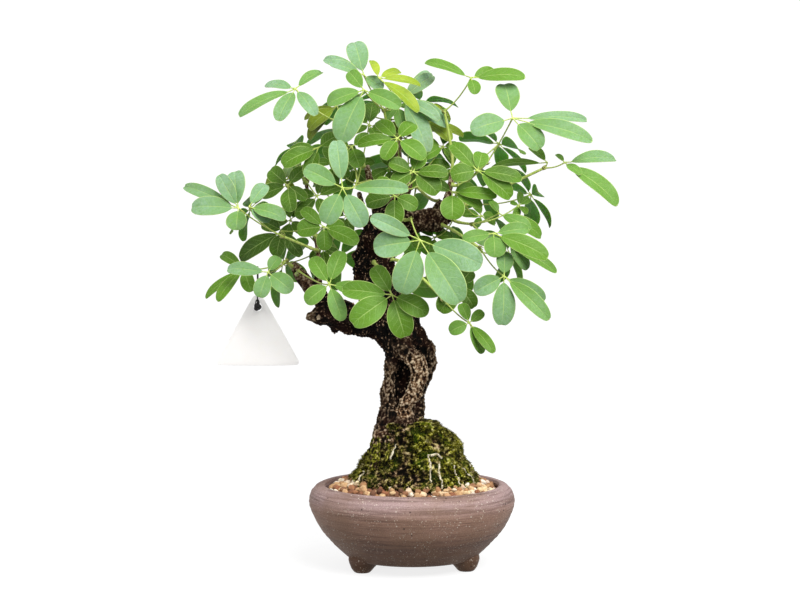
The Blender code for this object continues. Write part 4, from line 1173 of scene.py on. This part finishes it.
def soften(mesh, places, rounds):
    """Evens out the places over the mesh's edges, so many rounds."""
    ends = read(mesh.edges, "vertices", 2, np.int64)
    count = np.bincount(ends.ravel(), minlength=len(places))[:, None]
    for _ in range(rounds):
        total = np.zeros_like(places)
        np.add.at(total, ends[:, 0], places[ends[:, 1]])
        np.add.at(total, ends[:, 1], places[ends[:, 0]])
        places = 0.5 * places + 0.5 * total / count
    return places


def set_places(mesh, places):
    mesh.vertices.foreach_set("co", (places * MM).ravel())
    mesh.update()


def smooth_step(value, low, high):
    share = np.clip((value - low) / (high - low), 0, 1)
    return share * share * (3 - 2 * share)


# Leaves


def breadth(share):
    """Half the width of a leaflet along its length, as a share of its widest."""
    if share < WIDEST:
        return (1 - (1 - share / WIDEST) ** 2) ** 0.72
    return math.sqrt(1 - 0.994 * ((share - WIDEST) / (1 - WIDEST)) ** 2.4)


def arching(share):
    """Rise of the blade above the straight line from its foot to its tip, as in the solid."""
    return 4.016 * share - 2.018 * share**2 - 2.398 * share**3


def blade_point(share, u, half, length, look):
    """Place of a point of the blade, as (along, across, up), in millimetres."""
    fold, wave, phase, notch = look
    wide = max(breadth(share), PETIOLULE_HALF * 0.7 / half)
    end = max(0.0, (share - 0.8) / 0.2)
    along = (share - end * end * notch * math.exp(-(u * wide / 0.22) ** 2)) * length
    ripple = wave * math.sin(7 * share + phase + (1.7 if u > 0 else 0)) * u * u
    quilt = -0.1 * math.cos(2 * math.pi * (SIDE_VEINS * share - 0.9 * abs(u))) * 4 * abs(u) * (1 - abs(u))
    groove = -0.16 if u == 0 else 0
    up = 0.06 * length * arching(share) + (fold * abs(u) ** 1.3 + ripple) * wide * half + quilt + groove
    return along, u * wide * half, up


def sheet_faces(rows, wide):
    """Quads of a grid of points, and the points of its edge in order."""
    quads = [
        (r * wide + c, (r + 1) * wide + c, (r + 1) * wide + c + 1, r * wide + c + 1)
        for r in range(rows) for c in range(wide - 1)
    ]
    right = [(r + 1) * wide - 1 for r in range(1, rows)]
    far = [rows * wide + c for c in range(wide - 1, -1, -1)]
    left = [r * wide for r in range(rows - 1, 0, -1)]
    return quads, [*range(wide), *right, *far, *left]


def blade(pile, hub, tip, normal, width, tint_and_shade, stem, chance):
    """One fine leaflet: a folded, rippled sheet with two faces and a rim, on its petiolule."""
    axis, side, face, reach = leaflet_axes(hub, tip, normal)
    stem *= reach
    width *= 1.0 if width < WIDE_LEAFLET else 0.93
    look = [chance.uniform(*limits) for limits in BLADE_LOOKS]
    tops, lows, values = [], [], []
    for row in range(ROWS + 1):
        share = row / ROWS - 0.1 * math.sin(2 * math.pi * row / ROWS)
        for u in COLUMNS:
            along, across, up = blade_point(share, u, width / 2, reach - stem, look)
            place = hub + axis * (stem + along) + side * across + face * up
            thick = FINE_BLADE / 2 * (1.6 if u == 0 else 1 if abs(u) < 0.9 else 0.6)
            tops.append(place + face * (FINE_BLADE / 2 if u == 0 else thick))
            lows.append(place - face * thick)
            values.append((u, share, tint_and_shade))
    upper, edge = sheet_faces(ROWS, len(COLUMNS))
    if (tops[1] - tops[0]).cross(tops[len(COLUMNS)] - tops[0]).dot(face) > 0:
        upper = [corners[::-1] for corners in upper]
    first = len(pile.points)
    pile.add((tops, upper), values)
    pile.add((lows, [corners[::-1] for corners in upper]), values, 1)
    rim = [(a, a + len(tops), b + len(tops), b) for a, b in zip(edge, edge[1:] + edge[:1])]
    pile.faces += [tuple(i + first for i in corners) for corners in rim]
    pile.finishes += [0] * len(rim)
    return stem, axis, face


def thin_stalk(pile, path, radii, sides, age):
    """A round stalk; age runs from 0, green, to 1, brown, from its first point to its last."""
    values = [(0, age[0], 0)]
    for share in shares(len(path)):
        values += [(share, age[0] * (1 - share) + age[1] * share, 0)] * sides
    pile.add(tube(path, radii, sides), values + [(1, age[1], 0)], 2)


def dress_leaf(pile, leaf, joint, tint_and_shade, stem_share, chance):
    """The stalk, with thicker joints at its ends, and the leaflets of one leaf."""
    normal, centre, tips, sway = leaf
    path = stalk_path(joint, centre, normal, sway, lift=0, steps=18)
    radii = [0.52 + 0.48 * math.exp(-14 * share) + 0.28 * math.exp(-20 * (1 - share)) for share in shares(19)]
    thin_stalk(pile, path, radii, 8, (0.12, 0.0))
    for tip, width in tips:
        own_tint_and_shade = tint_and_shade + chance.uniform(-0.06, 0.06)
        stem, axis, face = blade(pile, centre, centre + tip, normal, width, own_tint_and_shade, stem_share, chance)
        foot = [centre - axis * 0.2, centre + axis * stem * 0.4 + face * 0.05, centre + axis * stem * 0.85]
        foot.append(centre + axis * (stem + 2.2) + face * 0.25)
        thin_stalk(pile, catmull(foot, 3), PETIOLULE_RADII, 6, (0, 0))


def dress_shoot(pile, path, age, chance):
    """A green shoot with swollen joints, from the wood to where its leaf stalks part."""
    fine = catmull(path, 6)
    fine = [fine[0] + (fine[0] - fine[1]).normalized() * 1.2, *fine]
    radii = []
    for share in shares(len(fine)):
        joint = 0.35 * math.exp(-((share - 0.55) / 0.02) ** 2)
        radii.append(SHOOT_RADIUS * (1.12 - 0.34 * share) + joint + 0.7 * math.exp(-share * 18))
    radii[-1] *= 1.25
    thin_stalk(pile, fine, radii, 10, age)
    end, ahead = fine[-1], (fine[-1] - fine[-3]).normalized()
    for step in range(4):
        turn = Matrix.Rotation(step * math.pi / 2 + chance.uniform(0, 1), 3, ahead)
        out = turn @ ahead.orthogonal().normalized()
        scale = [end - ahead * 1.5 + out * 0.7, end + out * 1.5, end + ahead * 2.2 + out * 1.7]
        thin_stalk(pile, scale, [0.75, 0.6, 0.12], 5, (0.7, 0.4))


def tint_and_shade_of(name, number):
    if number >= FIRST_FILL:
        return FILL_LEAVES[number - FIRST_FILL][-1]
    return TINT_AND_SHADE_BY_SPRAY.get((name, number), TINT_AND_SHADE_BY_SPRAY.get(name, 0.36))


def dress_sprays(sprays, materials):
    chance = random.Random(LEAF_SEED)
    for name, spray in sprays.items():
        pile = Pile()
        dress_shoot(pile, spray.path, (0.6, 0.05) if name in FAR_SPRAYS else (0.14, 0.0), chance)
        for number, leaf in spray.leaves:
            stem_share = STEM_SHARES.get((name, number), 0.13)
            dress_leaf(pile, leaf, spray.joint, tint_and_shade_of(name, number), stem_share, chance)
        keep(pile.build("leaves_" + name, *materials), "leaf", "spray_" + name)


# Wood


def fine_limb(points, sides, rough):
    run = catmull(points, 6)
    return tube([value.xyz for value in run], [value.w for value in run], sides, rough)


def bark_relief(place, grain):
    """Height of the bark at a point, from 0 to 1, with cracks that run along the grain."""
    x, y, z = place
    run = Vector((x * 0.1, y * 0.3, z * 0.3)) if grain else Vector((x * 0.34, y * 0.34, z * 0.15))
    distances, _ = noise.voronoi(Vector(place) * 0.44)
    plate = min(1.0, (distances[1] - distances[0]) * 2.2)
    crumb = noise.noise(Vector(place) * 0.95)
    return 0.45 * (1 - abs(noise.noise(run)) * 2.2) + 0.38 * plate + 0.22 * crumb


def off_limb(places, points):
    """How far each place is from a limb's skin, in millimetres."""
    run = np.array(catmull(points, 6))
    return (np.sqrt(((places[:, None, :] - run[None, :, :3]) ** 2).sum(2)) - run[None, :, 3]).min(1)


def bark_paleness(places, thin):
    """Where the bark is tan and not black, partly as painted highlight and shade: the winding strand, the
    roots, the arm's stump and the twigs.
    """
    x, y, z = places.T
    winding = smooth_step(off_limb(places, FINE_STRANDS[2]), 2.6, 0.6)
    pale = np.maximum.reduce([
        0.14 * smooth_step(z, 168, 120),
        winding * (0.2 + 0.8 * smooth_step(z, 165, 156)),
        0.42 * smooth_step(off_limb(places, FINE_STRANDS[1][1:4]), 2, 0),
        # Partly tan bark, partly a painted highlight along the right lobe's lit edge
        0.6 * smooth_step(x, 21, 26) * smooth_step(z, 174, 164),
        0.6 * smooth_step(z, 110, 102),
        0.5 * smooth_step(x, -60, -68),
        0.55 * thin,
        0.26 * smooth_step(x, 0, 8) * smooth_step(z, 240, 250),
    ])
    # Painted shade: no paleness in the trunk's hollow, which stays black
    leaning = 1 + 0.28 * (z - 138)
    hollow_shade = smooth_step(abs(x - leaning), 7, 4.5) * smooth_step(y, -9, -4)
    return pale * (1 - hollow_shade * smooth_step(z, 121, 126) * smooth_step(z, 156, 150))


def trunk_shapes():
    """The foot, the strands, the roots and the limbs, all closed, to be grown together."""
    rings = [ring(*TRUNK_FOOT, up, TRUNK_FOOT_RADIUS, 40) for up in TRUNK_FOOT_ENDS]
    low, high = [[(*TRUNK_FOOT, up)] for up in TRUNK_FOOT_ENDS]
    shapes = [skin([low, *rings, high])]
    shapes += [fine_limb(points, 24, 0.4) for points in FINE_STRANDS + BARK_ROOTS]
    for points in LIMBS:
        thick = max(point[3] for point in points) > 8
        shapes.append(fine_limb(points, 28 if thick else 14, 0.5 if thick else 0.15))
    return shapes


def dress_trunk(material):
    item = grown_together("trunk_bark", trunk_shapes(), BARK_CELL)
    mesh = item.data
    places = soften(mesh, read(mesh.vertices, "co", 3) / MM, 2)
    set_places(mesh, places)
    normals = read(mesh.vertex_normals, "vector", 3)
    relief = np.array([bark_relief(place, place[0] < -28 and place[2] < 225) for place in places])
    x, _, z = places.T
    thin = np.maximum(smooth_step(z, 262, 285), smooth_step(x, -50, -57) * smooth_step(z, 208, 216))
    depth = BARK_DEPTH * (1 - 0.75 * np.maximum(thin, smooth_step(x, -56, -70)))
    places = places + normals * ((relief - 0.55) * depth)[:, None]
    set_places(mesh, places)
    write_detail(mesh, bark_detail(mesh, places, normals, relief, thin))
    paint(mesh, material)
    mesh.shade_smooth()
    keep(item, "bark", "trunk")


def bark_detail(mesh, places, normals, relief, thin):
    """The relief, with painted shade in its recesses, the paleness and the moss of each point of the bark."""
    x, _, z = places.T
    # Painted shade: points deep in a recess get a lower relief value, and so a darker colour
    hollow_shade = ((soften(mesh, places, 16) - places) * normals).sum(1)
    relief = 0.15 + 0.7 * relief - 0.5 * np.clip(hollow_shade / 1.3, -0.7, 1.3)
    grain = smooth_step(np.hypot(x - PALE_GRAIN[0], z - PALE_GRAIN[1]), 1.9, 1.2)
    grain = grain * smooth_step(normals[:, 1], -0.1, -0.4)
    moss = smooth_step(z - 12 * smooth_step(x, 6, 14), 110, 87)
    return np.stack([np.maximum(relief, 2 * grain), np.maximum(bark_paleness(places, thin), grain), moss], 1)


# Mound


def mound_radius(up):
    """(middle across, radius) of the mound at a height, from its rings."""
    middles, ups, radii = zip(*MOUND_RINGS)
    return np.interp(up, ups, middles), np.interp(up, ups, radii)


def mound_point(angle, up):
    """A point of the mossy skin: lumps as in the part, a spreading foot, and clumps about 3 mm wide."""
    across, radius = mound_radius(up)
    out = Vector((math.cos(angle), math.sin(angle), 0))
    place = Vector((across, 0, up)) + out * radius
    lumpy = clamped((up - 66) / 10) * clamped((112 - up) / 8)
    distances, _ = noise.voronoi(place * 0.3)
    clump = 1 - min(1.0, distances[0] * 1.5) ** 2
    height = 0.55 * clump + 0.45 * noise.noise(place * 0.13) + 0.4 * noise.noise(place * 1.0) + 0.12
    bump = 3.2 * lumpy * noise.noise(place * 0.09) + 2.5 * (height - 0.4)
    bump += 2.6 * math.exp(-((up - 66) / 4) ** 2)
    return place + out * bump + Vector((0, 0, 0.5 * height)), out, clamped(height)


def greenness(place):
    """How mossy the mound is: bark and earth at its upper left, dark earth low in the middle."""
    upper_left = clamped((place.z - 84) / 10) * clamped((11 - place.x) / 9)
    middle = math.exp(-((place.x + 1) / 21) ** 2) * clamped((86 - place.z) / 10)
    patch = noise.noise(place * 0.09) * 0.9 + noise.noise(place * 0.3) * 0.6
    return clamped(0.85 - 0.7 * upper_left - 0.56 * middle + patch)


def dress_mound(moss_material, root_material):
    chance = random.Random(MOSS_SEED)
    pile = Pile()
    rings, values = [], []
    for level in range(MOUND_LEVELS + 1):
        up = MOUND_FOOT + (MOUND_TOP + 0.5 - MOUND_FOOT) * level / MOUND_LEVELS
        found = [mound_point(turn, up) for turn in turns(MOUND_AROUND)]
        rings.append([place for place, _, _ in found])
        # The first value, the height within the clumps, becomes painted shade low and painted highlight high
        # in the moss shader
        values += [(height, greenness(place), 0) for place, _, height in found]
    bottom, top = Vector((11, 0, MOUND_FOOT)), Vector((*TRUNK_FOOT, MOUND_TOP + 1.5))
    pile.add(skin([[bottom], *rings, [top]]), [(0, 0, 0), *values, (0.4, 0.4, 0)])
    add_tufts(pile, chance)
    for points in PALE_ROOTS:
        rooted(pile, points, chance)
    keep(pile.build("moss_cushions", moss_material, root_material), "moss", "moss_mound")


def add_tufts(pile, chance):
    """Small leafy moss shoots all over the cushions."""
    for _ in range(TUFTS):
        angle = chance.uniform(0, 2 * math.pi)
        place, out, height = mound_point(angle, 56 + (MOUND_TOP - 56) * chance.random() ** 1.25)
        green = greenness(place)
        if green < chance.uniform(0.2, 0.75):
            continue
        lean = Vector((chance.uniform(-1, 1), chance.uniform(-1, 1), chance.uniform(-0.2, 1.2))) * 0.55
        length, radius = chance.uniform(0.9, 2.5), chance.uniform(0.26, 0.46)
        # Partly painted light: shoots higher on the clumps are lighter, besides a random spread
        light = 0.45 + 0.5 * height * chance.uniform(0.6, 1.2)
        spike(pile, place, (out + lean).normalized(), length, radius, (light, green, chance.random() ** 2))


def spike(pile, foot, ahead, length, radius, value):
    """A three-sided leafy shoot, darker at its foot."""
    side = ahead.orthogonal().normalized() * radius
    other = ahead.cross(side)
    low = foot - ahead * 0.4
    corners = [low + side, low - side * 0.5 + other * 0.87, low - side * 0.5 - other * 0.87]
    faces = [(0, 1, 3), (1, 2, 3), (2, 0, 3), (0, 2, 1)]
    dark = (value[0] * 0.45, value[1], value[2] * 0.3)
    pile.add((corners + [foot + ahead * length], faces), [dark] * 3 + [value])


def mound_skin(place):
    """The place pulled on to the mound's surface, along the line from its middle."""
    across = mound_radius(place.z)[0]
    found, out, _ = mound_point(math.atan2(place.y, place.x - across), place.z)
    return found + out * (0.1 + 0.9 * noise.noise(place * 0.35))


def rooted(pile, points, chance):
    """A thin pale root along the mound's surface."""
    run = catmull(points, 6)
    path = [mound_skin(value.xyz) + Vector([chance.uniform(-0.3, 0.3) for _ in range(3)]) for value in run]
    pile.add(tube(path, [value.w * chance.uniform(0.5, 0.95) for value in run], 8, 0.1), (0.5, 0, 0), 1)


# Gravel


def ball_mesh():
    """A round mesh of unit radius to shape stones from."""
    made = bpy.data.meshes.new("round")
    work = bmesh.new()
    bmesh.ops.create_icosphere(work, subdivisions=3, radius=1)
    work.to_mesh(made)
    work.free()
    points = [vertex.co.copy() for vertex in made.vertices]
    faces = [tuple(face.vertices) for face in made.polygons]
    bpy.data.meshes.remove(made)
    return points, faces


def stone(pile, ball, place, radius, value, chance):
    """A rounded stone, dented a little by noise."""
    points, faces = ball
    turn = Matrix.Rotation(chance.uniform(0, 6), 3, "X") @ Matrix.Rotation(chance.uniform(0, 6), 3, "Z")
    scale = Vector((chance.uniform(0.85, 1.15), chance.uniform(0.8, 1.0), chance.uniform(0.68, 0.9))) * radius
    seed = Vector([chance.uniform(0, 90) for _ in range(3)])
    shaped, values = [], []
    for point in points:
        dent = noise.noise(point * 1.2 + seed) * 0.27 + noise.noise(point * 3.1 + seed) * 0.1
        shaped.append(place + turn @ (Vector(a * b for a, b in zip(point, scale)) * (1 + dent)))
        values.append((*value, max(0.0, -dent * 2.4)))
    pile.add((shaped, faces), values)


def stone_places(chance):
    """Where the stones lie: three layers, heaped against the mound, and strays on its foot."""
    placed = []
    for under, count, low, high in STONE_LAYERS:
        layer = []
        for _ in range(count):
            angle, share = chance.uniform(0, 2 * math.pi), chance.uniform(low, high)
            radius = chance.triangular(1.7, 3.6, 2.6)
            centre = GRAVEL_INNER[0] * (1 - share) + GRAVEL_OUTER[0] * share
            reach = (GRAVEL_INNER[1] - 1) * (1 - share) + (GRAVEL_OUTER[1] - 1.6) * share
            heap = HEAP_TOP - HEAP_FALL * max(0.0, share) ** 1.5
            up = heap - under - radius * 0.6 + chance.uniform(-0.5, 0.5)
            place = Vector((centre + reach * math.cos(angle), reach * math.sin(angle), up))
            if all((place - other).length > 0.83 * (radius + size) for other, size in layer):
                layer.append((place, radius))
        placed += layer
    return placed


def dress_gravel(material):
    """Small rounded stones round the mound, on a dark bed: browner at the front, left of the middle."""
    chance = random.Random(STONE_SEED)
    pile = Pile()
    wall = (GRAVEL_OUTER[0], GRAVEL_OUTER[1] + 1.2)
    levels = (
        (*GRAVEL_INNER, GRAVEL_BOTTOM), (*wall, GRAVEL_BOTTOM), (*wall, 56.6),
        (*GRAVEL_OUTER, 57.2), (10, 56, 60.5), (*GRAVEL_INNER, 62.4),
    )
    pile.add(skin([ring(centre, 0, up, radius, 96) for centre, radius, up in levels], True), (0.1, 0, 0.8))
    ball = ball_mesh()
    for place, radius in stone_places(chance):
        brown = math.exp(-((place.x + 22) / 24) ** 2) * max(0.0, -place.y / 50)
        shade = chance.uniform(0.18, 1.05) - 0.4 * brown
        stone(pile, ball, place, radius, (shade, chance.random() ** 2), chance)
    keep(pile.build("gravel_stones", material), "gravel", "gravel")


# Pot


def pot_profile():
    """The wall's section, from the drain hole out, over the rim and back, as (radius, up)."""
    bottom, floor = POT_OUTER[0][1], POT_INNER[-1][1]
    hole, lip = DRAIN_RADIUS, DRAIN_RADIUS + 0.6
    run = [(hole, bottom + 0.6), (lip, bottom), (30, bottom), (POT_OUTER[0][0] - 1.4, bottom)]
    run += catmull(POT_OUTER, 7)[:-1] + catmull(POT_RIM, 4)[:-1] + catmull(POT_INNER, 4)
    return [Vector(point) for point in run + [(30, floor), (lip, floor), (hole, floor - 0.6)]]


def thrown(angle, radius, up):
    """A point of the wall, with the ridges that the potter's fingers left."""
    share = smooth_step(up, 10, 18) * smooth_step(radius, 52, 60)
    turn = up + 1.1 * angle / (2 * math.pi)
    drift = noise.noise(Vector((math.cos(angle), math.sin(angle), up * 0.05)) * 0.9)
    ridge = 0.16 * math.sin(turn * 1.75 + drift * 2.4) + 0.1 * math.sin(turn * 4.4 + drift * 4)
    radius += share * (ridge + 0.35 * drift)
    return (POT_ACROSS + radius * math.cos(angle), radius * math.sin(angle), up)


def pot_foot(angle):
    """One foot, narrow on the floor, which swells and leans in under the pot's wall."""
    turn = math.radians(angle - 90)

    def middle(up):
        reach = FOOT_RADIUS_ON_POT - FOOT_LEAN * max(0.0, up - TOE_TOP)
        return POT_ACROSS + reach * math.cos(turn), reach * math.sin(turn), up

    rings = [ring(*middle(up), radius, 48) for radius, up in FOOT_RINGS]
    return skin([[middle(0)], *rings, [middle(FOOT_RINGS[-1][1])]])


def joined(name, shapes):
    """One mesh from overlapping closed shapes."""
    body = plain_object(name, shapes[0])
    pieces = [plain_object(f"{name}_{number}", shape) for number, shape in enumerate(shapes[1:])]
    extras = bpy.data.collections.new(name + "_extras")
    for piece in pieces:
        bpy.context.scene.collection.objects.unlink(piece)
        extras.objects.link(piece)
    join = body.modifiers.new("join", "BOOLEAN")
    join.operation, join.operand_type, join.solver = "UNION", "COLLECTION", "EXACT"
    join.collection = extras
    settle(body)
    for piece in pieces:
        bpy.data.objects.remove(piece, do_unlink=True)
    bpy.data.collections.remove(extras)
    return body


def finish_hard(item, material, angle, slot):
    """A smooth finish with sharp edges where the surface turns by more than an angle."""
    paint(item.data, material)
    item.data.shade_smooth()
    item.data.set_sharp_from_angle(angle=math.radians(angle))
    keep(item, slot, slot)


def dress_pot(material):
    rings = [[thrown(turn, radius, up) for turn in turns(POT_AROUND)] for radius, up in pot_profile()]
    item = joined("stoneware_pot", [skin(rings, closed=True), *map(pot_foot, FOOT_ANGLES)])
    finish_hard(item, material, 50, "pot")


# Tag and tie


def rounded(outline, rounds):
    """A closed outline with its corners cut round."""
    for _ in range(rounds):
        pairs = zip(outline, outline[1:] + outline[:1])
        outline = [
            (here[0] * share + after[0] * (1 - share), here[1] * share + after[1] * (1 - share))
            for here, after in pairs for share in (0.75, 0.25)
        ]
    return outline


def dress_tag(place, material):
    """A plain triangle with round corners, a punched hole and a fine bevel."""
    across, depth, hole_up, _, _ = place
    line = tag_line(place, rounded(TAG_OUTLINE, 3))
    count = len(line)
    lift = Vector((0, -TAG_THICKNESS / 2, 0))
    face = tuple(range(count - 1, -1, -1))
    faces = [face, tuple(i + count for i in reversed(face))]
    faces += [(i, (i + 1) % count, (i + 1) % count + count, i + count) for i in range(count)]
    points = [point + lift for point in line] + [point - lift for point in line]
    tag = plain_object("blank_tag", (points, faces))
    circles = [ring(0, 0, end, TAG_HOLE_RADIUS, 40) for end in (-2, 2)]
    rod, rod_faces = skin([[(0, 0, -2)], *circles, [(0, 0, 2)]])
    punch = plain_object("tag_punch", ([(across + x, depth - z, hole_up + y) for x, y, z in rod], rod_faces))
    tag.modifiers.new("hole", "BOOLEAN").object = punch
    settle(tag)
    bpy.data.objects.remove(punch, do_unlink=True)
    bevel = tag.modifiers.new("edge", "BEVEL")
    bevel.width, bevel.segments, bevel.limit_method = TAG_BEVEL * MM, 3, "ANGLE"
    settle(tag)
    finish_hard(tag, material, 40, "tag")


def dress_tie(place, material):
    """The loop of cord, with a small knot and two loose ends in front of the tag."""
    across, depth, _, top, bottom = place
    pile = Pile()
    pile.add(tie_loop(across, depth, top, bottom, 44, 10), (0, 0, 0))
    middle = Vector((across, depth - TAG_THICKNESS / 2 - GAP - KNOT_RADIUS, bottom - 1.9))
    knot = [knot_ring(middle, step) for step in range(KNOT_STEPS)]
    pile.add(skin(knot, closed=True), (0, 0, 0))
    for side in (-1, 1):
        bends = [(side * 0.8, 0, 0), (side * 1.3, -0.4, 2.4), (side * 0.7, 0.2, 5.4)]
        tail = catmull([middle + Vector(bend) for bend in bends], 5)
        pile.add(tube(tail, [0.45] * len(tail), 8), (0, 0, 0))
    keep(pile.build("cord_tie", material), "tag_tie", "tag_tie")


def knot_ring(middle, step):
    """One ring of the cord of a small round knot."""
    def centre(share):
        turn = 2 * math.pi * share
        reach = 0.72 * (2 + math.cos(3 * turn))
        return Vector((reach * math.cos(2 * turn), 0.7 * math.sin(3 * turn), reach * math.sin(2 * turn)))

    here, ahead = centre(step / KNOT_STEPS), centre((step + 1) / KNOT_STEPS)
    along = (ahead - here).normalized()
    side = along.cross(here.normalized()).normalized()
    other = along.cross(side)
    return [
        middle + here + KNOT_CORD * (side * math.cos(turn) + other * math.sin(turn)) for turn in turns(8)
    ]


# Floor, light and camera


def aim_at(item, place, target):
    item.location = place
    item.rotation_euler = (target - place).to_track_quat("-Z", "Y").to_euler()


def light(name, place, size, watts):
    lamp = bpy.data.lights.new(name, "AREA")
    lamp.size, lamp.energy = size, watts
    aim_at(linked(name, lamp), Vector(place), LAMP_TARGET)


def make_stage():
    """A white floor that takes a faint shadow, in a white room that lights from above."""
    floor = plain_object("floor", skin([[(0, 0, 0)], ring(0, 0, 0, FLOOR_END / MM, 96)]))
    floor.data.materials.append(floor_shader())
    floor.visible_diffuse = False
    world = bpy.data.worlds.new("white_room")
    world.use_nodes = True
    room = Nodes(world.node_tree)
    height = room.split(room.node("TexCoord", "Generated"))[2]
    dome = room.node("MapRange", "Result", height, -0.5, 0.8, ROOM_LOW, ROOM_HIGH)
    strength = room.mix(room.node("LightPath", "Is Camera Ray"), dome, ROOM_SEEN, "FLOAT")
    room.fill(room.tree.nodes["Background"], {"Color": WHITE, "Strength": strength})
    bpy.context.scene.world = world
    for name, lamp in LAMPS.items():
        light(name, *lamp)


def make_camera():
    view = bpy.data.cameras.new("photo_view")
    view.lens = view.sensor_width * (AIM - EYE).length / VIEW_WIDTH
    camera = linked("photo_view", view)
    aim_at(camera, EYE * MM, AIM * MM)
    bpy.context.scene.camera = camera
    bpy.context.scene.view_settings.view_transform = "Standard"


# The part's dressing, in order


def main():
    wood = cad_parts["trunk"].data
    wood_tree = tree_of((
        [vertex.co / MM for vertex in wood.vertices], [tuple(face.vertices) for face in wood.polygons],
    ))
    sprays, tag_place = lay_out(wood_tree)
    dress_sprays(sprays, [leaf_shader("leaf", False), leaf_shader("leaf_under", True), stalk_shader()])
    dress_trunk(bark_shader())
    dress_mound(moss_shader(), root_shader())
    dress_gravel(grain_shader())
    dress_pot(stoneware_shader())
    dress_tag(tag_place, tag_shader())
    dress_tie(tag_place, cord_shader())
    paint(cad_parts["soil"].data, soil_shader())
    paint(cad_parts["drain_mesh"].data, drain_shader())
    make_stage()
    make_camera()


main()
